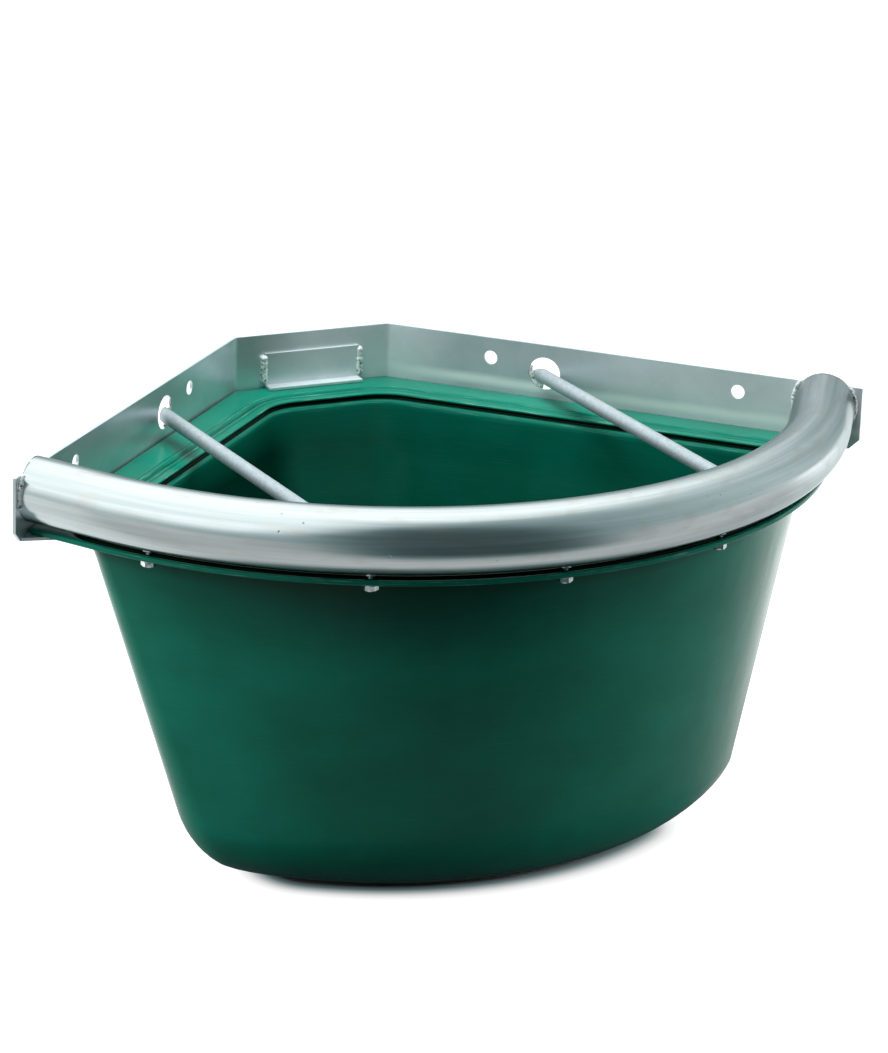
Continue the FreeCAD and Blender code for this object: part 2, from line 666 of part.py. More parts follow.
def make_bar_tack(side):
    """Weld that fills the rear side of the frame's hole, between its edge and the bar."""
    plug = doc.addObject("Part::Cylinder", f"{side}_tack_plug")
    plug.setExpression("Radius", "dims.bar_hole_dia / 2 - dims.weld_gap")
    plug.setExpression("Height", "dims.plate_thick")
    height = "places.frame_top - dims.bar_hole_drop"
    tall = "dims.bar_dia * 0.9"
    foot = f"places.bar_height - {tall} / 2"
    thick = "dims.plate_thick"
    reach = "dims.bar_hole_dia"
    if side == "right":
        stand_at(plug, "dims.bar_place", "0", height)
        axis_turn(plug, "1", "0", "0", "-90")
        window = box("right_tack_window",
                     (f"dims.bar_place - dims.bar_dia / 2 - {reach}", "0", foot),
                     (reach, thick, tall))
    else:
        stand_at(plug, f"-{thick}", "-dims.bar_place", height)
        axis_turn(plug, "0", "1", "0", "90")
        window = box("left_tack_window",
                     (f"-{thick}", "-dims.bar_place + dims.bar_dia / 2", foot),
                     (thick, reach, tall))
    core = bar_run(f"{side}_tack_core", side, "dims.bar_dia / 2 + dims.weld_gap",
                   f"-{BEYOND}", f"{2 * BEYOND}")
    tack = cut(f"{side}_tack_cut", common(f"{side}_tack_part", plug, window), core)
    shift_piece(tack, f"{side}_bar_tack")


# Clip

CLIP_MIDDLE = "dims.corner_cut / 2"


def turn_to_cut(piece, label, along, inward, height):
    """Place a piece that is drawn with X along the frame's cut and Y towards the corner."""
    half = "sqrt(0.5)"
    piece.setExpression(
        "Placement.Base.x",
        f"{CLIP_MIDDLE} - places.half_span + (({along}) + ({inward})) * {half}")
    piece.setExpression(
        "Placement.Base.y",
        f"places.half_span - {CLIP_MIDDLE} + (({along}) - ({inward})) * {half}")
    piece.setExpression("Placement.Base.z", height)
    finish_piece(piece, label)


def make_clip():
    body = new_body("hold_down_clip")
    profile = new_sketch(body, "clip_profile", "YZ_Plane", "-dims.clip_length / 2")
    foot_top = "dims.rim_height + dims.seat_gap + dims.clip_thick"
    polygon(profile, [
        ("0", "dims.rim_height + dims.seat_gap"),
        ("0", "places.frame_top - dims.clip_drop"),
        ("-dims.clip_thick", "places.frame_top - dims.clip_drop"),
        ("-dims.clip_thick", foot_top),
        ("-dims.clip_thick - dims.clip_foot", foot_top),
        ("-dims.clip_thick - dims.clip_foot", "dims.rim_height + dims.seat_gap"),
    ])
    pad(body, "clip_sheet", profile, "dims.clip_length")
    axis_turn(body, "0", "0", "1", "45")
    turn_to_cut(body, "hold_down_clip", "0", "0", "0")


def make_clip_weld(side, sign):
    """Quarter-round bead between an end of the clip and the frame."""
    bead = doc.addObject("Part::Cylinder", f"{side}_clip_bead")
    bead.setExpression("Radius", "dims.clip_weld_size")
    bead.setExpression("Height", "dims.clip_weld_length")
    bead.Angle = 90
    axis_turn(bead, "0", "0", "1", "-45" if sign > 0 else "-135")
    turn_to_cut(bead, f"{side}_clip_weld", f"{sign} * dims.clip_length / 2", "0",
                "places.frame_top - dims.clip_drop - dims.clip_weld_size - dims.clip_weld_length")


# Welds at the tube's ends

END_HEADINGS = {
    "left": ("0", "-places.tube_reach", "1", "0"),
    "right": ("places.tube_reach", "0", "0", "-1"),
}
"""Where the tube's centre line meets each leg, and the heading inward from there."""


def make_end_weld(side, half, tube_clear):
    """Sloped bead on one half of the tube's upper side, against its leg."""
    across, up, heading_x, heading_y = END_HEADINGS[side]
    name = f"{side}_{half}_end"
    size = "dims.end_weld_size"
    cone = doc.addObject("Part::Cone", name + "_cone")
    cone.setExpression("Radius1", f"dims.tube_dia / 2 + {size}")
    cone.setExpression("Radius2", f"dims.tube_dia / 2 - {size}")
    cone.setExpression("Height", f"2 * {size}")
    stand_at(cone, across, up, "places.tube_height")
    lay_along(cone, heading_x, heading_y)
    reach = f"(dims.tube_dia / 2 + 2 * {size})"
    near = f"places.tube_reach - {reach}" if half == "rear" else "places.tube_reach"
    foot = "places.frame_top - dims.end_weld_low"
    if side == "right":
        window = box(name + "_window", (near, f"-2 * {size}", foot),
                     (reach, f"2 * {size}", "dims.end_weld_low"))
    else:
        window = box(name + "_window", ("0", f"-({near}) - {reach}", foot),
                     (f"2 * {size}", reach, "dims.end_weld_low"))
    weld = cut(name + "_cut", common(name + "_part", cone, window), tube_clear)
    shift_piece(weld, f"{side}_tube_weld_{half}")


# Rim fasteners

def make_rim_bolt(number):
    body = new_body(f"rim_bolt_{number}")
    shank = new_sketch(body, "shank_plan")
    circle(shank, "0", "0", "dims.bolt_dia")
    pad(body, "shank", shank, "dims.bolt_length")
    head = new_sketch(body, "head_plan")
    half = "dims.head_width / 2"
    corner = f"({half} / cos(30 deg))"
    polygon(head, [
        (corner, "0"),
        (f"{corner} / 2", half),
        (f"-{corner} / 2", half),
        (f"-{corner}", "0"),
        (f"-{corner} / 2", f"-{half}"),
        (f"{corner} / 2", f"-{half}"),
    ])
    pad(body, "head", head, "dims.head_height", downward=True)
    place_fastener(body, f"rim_bolt_{number}", number, "places.head_under")


def place_fastener(piece, label, number, height):
    across, up = bolt_place(number)
    stand_at(piece, f"{across} - places.half_span", f"{up} + places.half_span", height)
    finish_piece(piece, label)


def make_rim_washer(number):
    body = new_body(f"rim_washer_{number}")
    ring = new_sketch(body, "washer_plan")
    circle(ring, "0", "0", "dims.washer_dia")
    circle(ring, "0", "0", "dims.bolt_dia + dims.thread_room")
    pad(body, "washer", ring, "dims.washer_thick")
    place_fastener(body, f"rim_washer_{number}", number, "places.head_under")


def make_tube_nut(number):
    """Rivet nut in the tube's underside: a flange below the tube and a bored body inside."""
    body = new_body(f"tube_nut_{number}")
    flange = new_sketch(body, "flange_plan")
    circle(flange, "0", "0", "dims.nut_flange_dia")
    pad(body, "flange", flange, "dims.nut_flange_thick", downward=True)
    barrel = new_sketch(body, "barrel_plan")
    circle(barrel, "0", "0", "dims.nut_dia")
    pad(body, "barrel", barrel, "dims.nut_length")
    bore = new_sketch(body, "bore_plan", offset="dims.nut_length")
    circle(bore, "0", "0", "dims.bolt_dia + dims.thread_room")
    pocket(body, "bore", bore, "dims.nut_length + dims.nut_flange_thick")
    place_fastener(body, f"tube_nut_{number}", number, "places.tube_under")


# Build, check and write

def build():
    make_bowl()
    make_wall_frame()
    tube_outside = tube_run("tube_outside", "dims.tube_dia / 2")
    tube_clear = tube_run("tube_clear", "dims.tube_dia / 2 + dims.weld_gap")
    make_front_tube(tube_outside)
    for side in BAR_STARTS:
        make_bar(side, tube_clear)
        make_bar_weld(side, tube_clear)
        make_bar_tack(side)
        for half in ("front", "rear"):
            make_end_weld(side, half, tube_clear)
    make_clip()
    make_clip_weld("left", -1)
    make_clip_weld("right", 1)
    for number in bolt_angles:
        make_rim_bolt(number)
        make_rim_washer(number)
        make_tube_nut(number)
    doc.recompute()


def check():
    for item in doc.Objects:
        if "Invalid" in item.State or "Error" in item.State:
            raise RuntimeError(f"{item.Label} failed: {item.State}")
    for piece in pieces:
        shape = piece.Shape
        if shape.isNull() or not shape.isValid() or len(shape.Solids) != 1:
            raise RuntimeError(f"{piece.Label} is not one sound solid: {len(shape.Solids)}")


def write():
    os.makedirs("parts", exist_ok=True)
    for piece in pieces:
        piece.Shape.exportStep(f"parts/{piece.Label}.step")
        bounds = piece.Shape.BoundBox
        print(f"{piece.Label}: {piece.Shape.Volume / 1000:.1f} cm3, "
              f"x {bounds.XMin:.1f} to {bounds.XMax:.1f}, y {bounds.YMin:.1f} to {bounds.YMax:.1f}, "
              f"z {bounds.ZMin:.1f} to {bounds.ZMax:.1f}")


build()
check()
write()
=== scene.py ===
"""Looks of a corner feed manger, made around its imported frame.

The file is laid out as an add-on and is run as a script. Shapes are worked out in corner
coordinates: the two walls' faces meet at x = y = 0, the right leg runs along +X, the left leg
runs along -Y and z = 0 is the floor. hand_over() shifts them to the row's frame. Lengths are
metres.
"""
import math

import bmesh
import bpy
from mathutils import Matrix, Vector


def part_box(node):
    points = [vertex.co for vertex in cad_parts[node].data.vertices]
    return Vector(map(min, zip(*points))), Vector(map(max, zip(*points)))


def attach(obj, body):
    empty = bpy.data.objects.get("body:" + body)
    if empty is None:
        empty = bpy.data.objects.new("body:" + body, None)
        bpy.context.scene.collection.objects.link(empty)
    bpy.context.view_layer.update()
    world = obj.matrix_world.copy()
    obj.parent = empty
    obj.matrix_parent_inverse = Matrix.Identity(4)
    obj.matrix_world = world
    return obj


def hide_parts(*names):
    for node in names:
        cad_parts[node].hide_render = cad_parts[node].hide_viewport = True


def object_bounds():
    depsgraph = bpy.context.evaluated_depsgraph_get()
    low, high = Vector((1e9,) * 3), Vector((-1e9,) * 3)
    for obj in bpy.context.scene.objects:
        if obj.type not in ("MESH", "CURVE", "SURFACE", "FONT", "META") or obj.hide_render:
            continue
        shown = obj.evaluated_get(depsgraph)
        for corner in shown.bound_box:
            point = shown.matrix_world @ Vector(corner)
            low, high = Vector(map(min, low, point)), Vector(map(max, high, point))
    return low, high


bl_info = {
    "name": "Corner feed manger",
    "version": (1, 0, 0),
    "blender": (4, 5, 0),
    "location": "3D View > Sidebar > Manger",
    "description": "Makes the looks of a corner feed manger around its packed frame",
    "category": "Object",
}

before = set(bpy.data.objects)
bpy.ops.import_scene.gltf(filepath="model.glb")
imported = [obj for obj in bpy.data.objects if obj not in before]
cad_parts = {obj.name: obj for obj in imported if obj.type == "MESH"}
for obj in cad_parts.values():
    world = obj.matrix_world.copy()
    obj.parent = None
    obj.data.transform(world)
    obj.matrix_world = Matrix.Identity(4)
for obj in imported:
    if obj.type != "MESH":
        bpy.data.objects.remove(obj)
CAD_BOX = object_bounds()

# Sizes that the frame gives, and the ones that it only holds in its shapes

MM = 0.001
SHEET = 3 * MM
HALF_SPAN = -CAD_BOX[0].x - SHEET
CORNER_CUT = 115 * MM
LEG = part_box("wall_frame")[1].x + HALF_SPAN
FRAME_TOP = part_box("wall_frame")[1].z
RIM_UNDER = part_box("rim_washer_1")[1].z
RIM_TOP = RIM_UNDER + 4.7 * MM
RIM_GAP = 1.5 * MM
TUBE_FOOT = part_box("front_tube")[0].z
TUBE_RADIUS = (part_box("front_tube")[1].z - TUBE_FOOT) / 2
TUBE_HEIGHT = TUBE_FOOT + TUBE_RADIUS
TUBE_REACH = LEG - 36.7 * MM
TUBE_LEAN = math.radians(12.9)
TUBE_STRAIGHT = 78 * MM
ARC_RADIUS = ((TUBE_REACH + TUBE_STRAIGHT * (math.sin(TUBE_LEAN) - math.cos(TUBE_LEAN)))
              / (math.cos(TUBE_LEAN) + math.sin(TUBE_LEAN)))
ARC_CENTRE = TUBE_REACH + TUBE_STRAIGHT * math.sin(TUBE_LEAN) - ARC_RADIUS * math.cos(TUBE_LEAN)
BAR_PLACE = 283 * MM
BAR_HEADING = math.radians(41.4)
BAR_RADIUS = (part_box("left_bar")[1].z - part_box("left_bar")[0].z) / 2
BAR_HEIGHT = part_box("left_bar")[0].z + BAR_RADIUS
BAR_HOLE_RADIUS = 16.5 * MM
BAR_HOLE_HEIGHT = FRAME_TOP - 29.5 * MM
CLIP_LENGTH = 100 * MM
PALE_LINE_HEIGHT = RIM_TOP + 10 * MM
# How far a rod's cut end stays inside the face that it meets
END_ROOM = 0.05 * MM
SIDES = ("left", "right")
BOLTS = range(1, 6)


# Colours, materials and node trees

def srgb(code):
    """Linear colour of an sRGB hex value."""
    parts = [int(code[place:place + 2], 16) / 255 for place in (1, 3, 5)]
    return [c / 12.92 if c <= 0.04045 else ((c + 0.055) / 1.055) ** 2.4 for c in parts]


def socket_of(sockets, key):
    """Socket by its number, or the one in use that has a name."""
    if isinstance(key, int):
        return sockets[key]
    return next(socket for socket in sockets if socket.enabled and socket.name == key)


def add(tree, kind, links=None, **settings):
    """Add a node. links gives sockets a value, another socket, or a node's first output."""
    made = tree.nodes.new(kind)
    for name, value in settings.items():
        setattr(made, name, value)
    for key, value in (links or {}).items():
        socket = socket_of(made.inputs, key)
        if isinstance(value, bpy.types.Node):
            value = next(output for output in value.outputs if output.enabled)
        if isinstance(value, bpy.types.NodeSocket):
            tree.links.new(value, socket)
        else:
            socket.default_value = value
    return made


def new_material(name, **constants):
    """Material with one Principled shader, whose constants are set on its own sockets."""
    material = bpy.data.materials.new(name)
    material.use_nodes = True
    tree = material.node_tree
    shader = tree.nodes["Principled BSDF"]
    for socket, value in constants.items():
        shader.inputs[socket].default_value = value
    return material, tree, shader


def finish_material(tree, shader, colour, roughness, normal):
    """Link the nodes of a colour, a roughness and a normal into a shader."""
    for socket, node in (("Base Color", colour), ("Roughness", roughness), ("Normal", normal)):
        tree.links.new(next(out for out in node.outputs if out.enabled), shader.inputs[socket])


def stretched(tree, place, scale, detail=3.0, roughness=0.5):
    """Noise pattern whose features per metre differ along the three axes of a place."""
    spread = add(tree, "ShaderNodeVectorMath", {0: place, 1: scale}, operation="MULTIPLY")
    return add(tree, "ShaderNodeTexNoise", {
        "Vector": spread, "Scale": 1.0, "Detail": detail, "Roughness": roughness})


def opaque(colour):
    """Colour with full alpha."""
    return (*colour, 1.0)


def full_bright(colour):
    """Colour scaled so that its strongest channel is 1."""
    return opaque([channel / max(colour) for channel in colour])


WHITE = opaque([1.0] * 3)


def set_stops(ramp, stops):
    """Give a colour ramp grey stops from rows of place and value."""
    for place, _ in stops[1:-1]:
        ramp.elements.new(place)
    for stop, (place, value) in zip(ramp.elements, stops):
        stop.position = place
        stop.color = opaque([value] * 3)


def polyethylene(colour, deep, pale, painted_shade_green):
    """Moulded polyethylene: waxy satin gloss over a deep colour.

    The tone drifts over patches as long as a hand, faint flow lines run round the bowl, the
    skin ripples slightly and edges are scuffed pale. Shade is painted in as a deeper green
    inside, close under the rim and in the tube's gap.
    """
    material, tree, shader = new_material(
        "moulded_green_polyethylene",
        **{"IOR": 1.5, "Specular IOR Level": 0.12})
    place = add(tree, "ShaderNodeUVMap", uv_map="UVMap")
    solid = add(tree, "ShaderNodeTexCoord").outputs["Object"]
    clouds = stretched(tree, solid, (11, 11, 17))
    flow = stretched(tree, place, (4, 90, 1), 2.0)
    ripple = stretched(tree, solid, (38, 38, 24), 1.0)
    wear = add(tree, "ShaderNodeAttribute", attribute_name="wear").outputs["Fac"]
    scratches = stretched(tree, place, (26, 700, 1), 2.0)
    worn = add(tree, "ShaderNodeMapRange", {0: scratches, 1: 0.56, 2: 0.68, 4: 0.5})
    scuffs = add(tree, "ShaderNodeMath", {0: wear, 1: worn}, operation="MULTIPLY")
    drift = add(tree, "ShaderNodeMath", {0: flow, 1: 0.1, 2: clouds}, operation="MULTIPLY_ADD")
    tone = add(tree, "ShaderNodeMapRange", {0: drift, 1: 0.35, 2: 0.75})
    base = add(tree, "ShaderNodeMix", {"Factor": tone, "A": opaque(deep), "B": opaque(colour)},
               data_type="RGBA")
    scuffed = add(tree, "ShaderNodeMix", {"Factor": scuffs, "A": base, "B": opaque(pale)},
                  data_type="RGBA")
    # Painted shade: this mark deepens the green inside, under the rim and in the tube's gap
    grime = add(tree, "ShaderNodeAttribute", attribute_name="grime").outputs["Fac"]
    with_painted_shade = add(tree, "ShaderNodeMix", {"Factor": grime, "A": scuffed, "B": opaque(painted_shade_green)},
                 data_type="RGBA")
    rubbed = add(tree, "ShaderNodeMath", {0: scuffs, 1: 0.25, 2: drift}, operation="MULTIPLY_ADD")
    rough = add(tree, "ShaderNodeMapRange", {0: rubbed, 1: 0.4, 2: 1.0, 3: 0.18, 4: 0.26})
    waves = add(tree, "ShaderNodeBump", {"Height": ripple, "Distance": 0.35 * MM})
    skin = add(tree, "ShaderNodeBump", {"Height": flow, "Distance": 0.003 * MM, "Normal": waves})
    finish_material(tree, shader, with_painted_shade, rough, skin)
    return material


# Painted reflection along the right leg: its brightness from the bend at 0 to its end at 1
PAINTED_REFLECTION_STOPS = ((0.0, 1.0), (0.08, 0.6), (0.17, 0.0), (0.35, 0.3), (0.5, 0.9), (1.0, 1.0))


def galvanised_sheet(colour, dull, pale_line_colour):
    """Hot-dip galvanised rolled sheet: bright zinc with faint spangle and soft reflections.

    Spangle cells are about 12 mm wide. Its thin grey bloom scatters light, so it is only
    partly metallic, most on the left leg. Lighter and darker stretches along the right leg
    are a painted reflection. Rolling leaves long faint lines along the strip. A pale line
    is drawn along the right leg, about 10 mm over the bowl's rim.
    """
    material, tree, shader = new_material("hot_dip_galvanised_sheet")
    solid = add(tree, "ShaderNodeTexCoord").outputs["Object"]
    spot = add(tree, "ShaderNodeSeparateXYZ", {0: solid}).outputs
    warp = add(tree, "ShaderNodeTexNoise", {"Vector": solid, "Scale": 60.0}).outputs["Color"]
    warped = add(tree, "ShaderNodeMix", {"Factor": 0.02, "A": solid, "B": warp},
                 data_type="VECTOR")
    cells = add(tree, "ShaderNodeTexVoronoi", {"Vector": warped, "Scale": 80.0})
    cell = add(tree, "ShaderNodeSeparateColor", {0: cells.outputs["Color"]})
    clouds = stretched(tree, solid, (14, 14, 26), 4.0)
    lines = stretched(tree, solid, (7, 7, 240), 3.0)
    tone = add(tree, "ShaderNodeMath", {0: cell, 1: 0.12, 2: clouds}, operation="MULTIPLY_ADD")
    cloudy = add(tree, "ShaderNodeMapRange", {0: tone, 1: 0.35, 2: 0.75})
    across = add(tree, "ShaderNodeMapRange", {0: spot["X"], 1: -0.2, 2: 0.3})
    # Painted reflection: lighter and darker stretches along the right leg
    painted_reflection = add(tree, "ShaderNodeValToRGB", {0: across})
    set_stops(painted_reflection.color_ramp, PAINTED_REFLECTION_STOPS)
    shade = add(tree, "ShaderNodeMix", {"Factor": 0.7, "A": cloudy, "B": painted_reflection.outputs[0]})
    base = add(tree, "ShaderNodeMix", {"Factor": shade, "A": opaque(dull), "B": opaque(colour)},
               data_type="RGBA")
    smooth = add(tree, "ShaderNodeMapRange", {0: spot["X"], 1: -0.3, 2: -0.26, 3: 0.75, 4: 0.25})
    tree.links.new(smooth.outputs[0], shader.inputs["Metallic"])
    rolled = add(tree, "ShaderNodeMath", {0: lines, 1: 0.4, 2: tone}, operation="MULTIPLY_ADD")
    rough = add(tree, "ShaderNodeMapRange", {0: rolled, 1: 0.45, 2: 1.0, 3: 0.29, 4: 0.36})
    # A pale line drawn along the right leg at a set height over the rim
    crest = add(tree, "ShaderNodeMath", {0: clouds, 1: 5 * MM, 2: PALE_LINE_HEIGHT - 2.5 * MM},
                operation="MULTIPLY_ADD")
    off = add(tree, "ShaderNodeMath", {0: spot["Z"], 1: crest}, operation="SUBTRACT")
    apart = add(tree, "ShaderNodeMath", {0: off}, operation="ABSOLUTE")
    line = add(tree, "ShaderNodeMapRange", {0: apart, 1: 1.5 * MM, 2: 7 * MM, 3: 0.8, 4: 0.0})
    beyond = add(tree, "ShaderNodeMapRange", {0: spot["X"], 1: -0.22, 2: -0.12})
    pale_line_share = add(tree, "ShaderNodeMath", {0: line, 1: beyond}, operation="MULTIPLY")
    run = add(tree, "ShaderNodeMix", {"Factor": pale_line_share, "A": base, "B": opaque(pale_line_colour)},
              data_type="RGBA")
    waves = add(tree, "ShaderNodeBump", {"Height": clouds, "Distance": 0.12 * MM})
    skin = add(tree, "ShaderNodeBump", {"Height": lines, "Distance": 0.006 * MM, "Normal": waves})
    finish_material(tree, shader, run, rough, skin)
    return material


# Tint of the tube's glancing reflections. It keeps the tube's outline grey where the bright
# floor behind the manger would burn it out.
EDGE_DULL = (0.5, 0.53, 0.54)


def galvanised_tube(colour, dull, stain, pit):
    """Drawn and galvanised tube: bright zinc in bands along its length, with small pits.

    The bands follow the tube through its "grain" place, which is the tube laid out straight.
    """
    material, tree, shader = new_material(
        "drawn_galvanised_tube", Metallic=1.0, **{"Specular Tint": opaque(EDGE_DULL)})
    grain = add(tree, "ShaderNodeAttribute", attribute_name="grain").outputs["Vector"]
    bands = stretched(tree, grain, (1.6, 75, 75), 4.0, 0.6)
    lines = stretched(tree, grain, (5, 260, 260))
    blotches = stretched(tree, grain, (32, 70, 70), 4.0)
    spots = add(tree, "ShaderNodeTexVoronoi", {"Vector": grain, "Scale": 46.0})
    pitted = add(tree, "ShaderNodeMapRange", {0: spots, 1: 0.02, 2: 0.06, 3: 1.0, 4: 0.0})
    tone = add(tree, "ShaderNodeMath", {0: lines, 1: 0.25, 2: bands}, operation="MULTIPLY_ADD")
    shade = add(tree, "ShaderNodeMapRange", {0: tone, 1: 0.42, 2: 0.8})
    base = add(tree, "ShaderNodeMix", {"Factor": shade, "A": opaque(dull), "B": opaque(colour)},
               data_type="RGBA")
    stained = add(tree, "ShaderNodeMapRange", {0: blotches, 1: 0.52, 2: 0.75, 4: 0.6})
    patched = add(tree, "ShaderNodeMix", {"Factor": stained, "A": base, "B": opaque(stain)},
                  data_type="RGBA")
    dark = add(tree, "ShaderNodeMath", {0: pitted, 1: 0.35}, operation="MULTIPLY")
    spotted = add(tree, "ShaderNodeMix", {"Factor": dark, "A": patched, "B": opaque(pit)},
                  data_type="RGBA")
    worked = add(tree, "ShaderNodeMath", {0: blotches, 1: 0.6, 2: tone},
                 operation="MULTIPLY_ADD")
    rough = add(tree, "ShaderNodeMapRange", {0: worked, 1: 0.65, 2: 1.15, 3: 0.16, 4: 0.26})
    waves = add(tree, "ShaderNodeBump", {"Height": bands, "Distance": 0.12 * MM})
    drawn = add(tree, "ShaderNodeBump", {"Height": lines, "Distance": 0.01 * MM, "Normal": waves})
    skin = add(tree, "ShaderNodeBump", {"Height": pitted, "Distance": -0.2 * MM, "Normal": drawn})
    finish_material(tree, shader, spotted, rough, skin)
    return material


def galvanised_rod(colour, dull):
    """Hot-dip galvanised round bar: dull mottled zinc, with patches about 4 mm wide.

    Its thick grey bloom scatters most of the light, so it is only partly metallic.
    """
    material, tree, shader = new_material("dull_galvanised_rod", Metallic=0.45)
    grain = add(tree, "ShaderNodeAttribute", attribute_name="grain").outputs["Vector"]
    mottle = stretched(tree, grain, (210, 260, 260), 5.0, 0.65)
    fine = stretched(tree, grain, (600, 800, 800), 2.0)
    shade = add(tree, "ShaderNodeMapRange", {0: mottle, 1: 0.25, 2: 0.72})
    base = add(tree, "ShaderNodeMix", {"Factor": shade, "A": opaque(dull), "B": opaque(colour)},
               data_type="RGBA")
    rough = add(tree, "ShaderNodeMapRange", {0: mottle, 1: 0.3, 2: 0.7, 3: 0.58, 4: 0.46})
    waves = add(tree, "ShaderNodeBump", {"Height": mottle, "Distance": 0.02 * MM})
    skin = add(tree, "ShaderNodeBump", {"Height": fine, "Distance": 0.01 * MM, "Normal": waves})
    finish_material(tree, shader, base, rough, skin)
    return material


def zinc_weld(colour, slag):
    """Weld under zinc: lumpy, bright on its crests and dark where slag has left pits."""
    material, tree, shader = new_material("zinc_coated_weld", Metallic=0.4)
    solid = add(tree, "ShaderNodeTexCoord").outputs["Object"]
    lumps = stretched(tree, solid, (330, 330, 330), 4.0, 0.6)
    shade = add(tree, "ShaderNodeMapRange", {0: lumps, 1: 0.38, 2: 0.46})
    base = add(tree, "ShaderNodeMix", {"Factor": shade, "A": opaque(slag), "B": opaque(colour)},
               data_type="RGBA")
    rough = add(tree, "ShaderNodeMapRange", {0: lumps, 1: 0.3, 2: 0.7, 3: 0.5, 4: 0.29})
    skin = add(tree, "ShaderNodeBump", {"Height": lumps, "Distance": 0.5 * MM})
    finish_material(tree, shader, base, rough, skin)
    return material


def zinc_plate(colour, dull):
    """Bright zinc-plated steel: thin smooth plating with a faint cloudy bloom."""
    material, tree, shader = new_material("bright_zinc_plated_steel", Metallic=1.0)
    solid = add(tree, "ShaderNodeTexCoord").outputs["Object"]
    bloom = stretched(tree, solid, (240, 240, 240))
    shade = add(tree, "ShaderNodeMapRange", {0: bloom, 1: 0.35, 2: 0.65})
    base = add(tree, "ShaderNodeMix", {"Factor": shade, "A": opaque(dull), "B": opaque(colour)},
               data_type="RGBA")
    rough = add(tree, "ShaderNodeMapRange", {0: bloom, 1: 0.3, 2: 0.7, 3: 0.26, 4: 0.18})
    skin = add(tree, "ShaderNodeBump", {"Height": bloom, "Distance": 0.02 * MM})
    finish_material(tree, shader, base, rough, skin)
    return material


def new_tree(name, inputs):
    """Geometry tree with a shape in and out and named inputs, and its input and output nodes."""
    tree = bpy.data.node_groups.new(name, "GeometryNodeTree")
    tree.interface.new_socket("Shape", in_out="INPUT", socket_type="NodeSocketGeometry")
    tree.interface.new_socket("Shape", in_out="OUTPUT", socket_type="NodeSocketGeometry")
    for label, kind in inputs.items():
        tree.interface.new_socket(label, in_out="INPUT", socket_type="NodeSocket" + kind)
    return tree, add(tree, "NodeGroupInput").outputs


def close_tree(tree, shape, material):
    """End a tree in plain geometry with its material."""
    plain = add(tree, "GeometryNodeRealizeInstances", {"Geometry": shape}).outputs[0]
    finished = add(tree, "GeometryNodeSetMaterial", {"Geometry": plain, "Material": material})
    add(tree, "NodeGroupOutput", {0: finished.outputs[0]})


def evaluated_mesh(piece, name):
    """Plain mesh of an object with its modifiers applied. The object goes."""
    bpy.context.view_layer.update()
    graph = bpy.context.evaluated_depsgraph_get()
    mesh = bpy.data.meshes.new_from_object(piece.evaluated_get(graph), depsgraph=graph)
    mesh.name = name
    bpy.data.objects.remove(piece)
    return mesh


def run_tree(tree, source, name, values):
    """Mesh that a tree makes from a source mesh."""
    piece = new_object(name, source)
    modifier = piece.modifiers.new("tree", "NODES")
    modifier.node_group = tree
    for item in tree.interface.items_tree:
        if item.in_out == "INPUT" and item.name in values:
            modifier[item.identifier] = values[item.name]
    return evaluated_mesh(piece, name)


# Meshes and pieces

def new_object(name, mesh):
    piece = bpy.data.objects.new(name, mesh)
    bpy.context.scene.collection.objects.link(piece)
    return piece


def hand_over(name, mesh, nodes, material, shifted=True):
    """Shift a mesh to the row's frame and let it stand for its CAD nodes."""
    if shifted:
        mesh.transform(Matrix.Translation((-HALF_SPAN, HALF_SPAN, 0)))
    mesh.materials.clear()
    mesh.materials.append(material)
    piece = new_object(name, mesh)
    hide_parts(*nodes)
    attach(piece, "root")
    return piece


def mesh_of(name, points, faces=(), edges=()):
    mesh = bpy.data.meshes.new(name)
    mesh.from_pydata(points, edges, faces)
    mesh.update()
    return mesh


def path_of(name, points):
    """Mesh of one open line."""
    return mesh_of(name, points, edges=[(n, n + 1) for n in range(len(points) - 1)])


def smooth_by_area(mesh, name, width=0.0, segments=2):
    """Smooth mesh whose large faces stay flat, with its sharp edges rounded to a width."""
    mesh.shade_smooth()
    piece = new_object(name, mesh)
    if width:
        bevel = piece.modifiers.new("edges", "BEVEL")
        bevel.width = width
        bevel.segments = segments
        bevel.limit_method = "ANGLE"
        bevel.angle_limit = math.radians(35)
    weighted = piece.modifiers.new("normals", "WEIGHTED_NORMAL")
    weighted.keep_sharp = True
    return evaluated_mesh(piece, name)


def softened_copy(node, name, width):
    """Copy of a CAD node with merged points, joined flat faces and rounded edges."""
    model = bmesh.new()
    model.from_mesh(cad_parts[node].data)
    bmesh.ops.remove_doubles(model, verts=model.verts, dist=0.002 * MM)
    bmesh.ops.dissolve_limit(model, angle_limit=math.radians(0.4), verts=model.verts,
                             edges=model.edges)
    mesh = bpy.data.meshes.new(name)
    model.to_mesh(mesh)
    model.free()
    return smooth_by_area(mesh, name, width)


# The bowl's plan and profile

LINE_STEPS = 22
CUT_STEPS = 10
TURN_STEPS = 14
FRONT_STEPS = 110


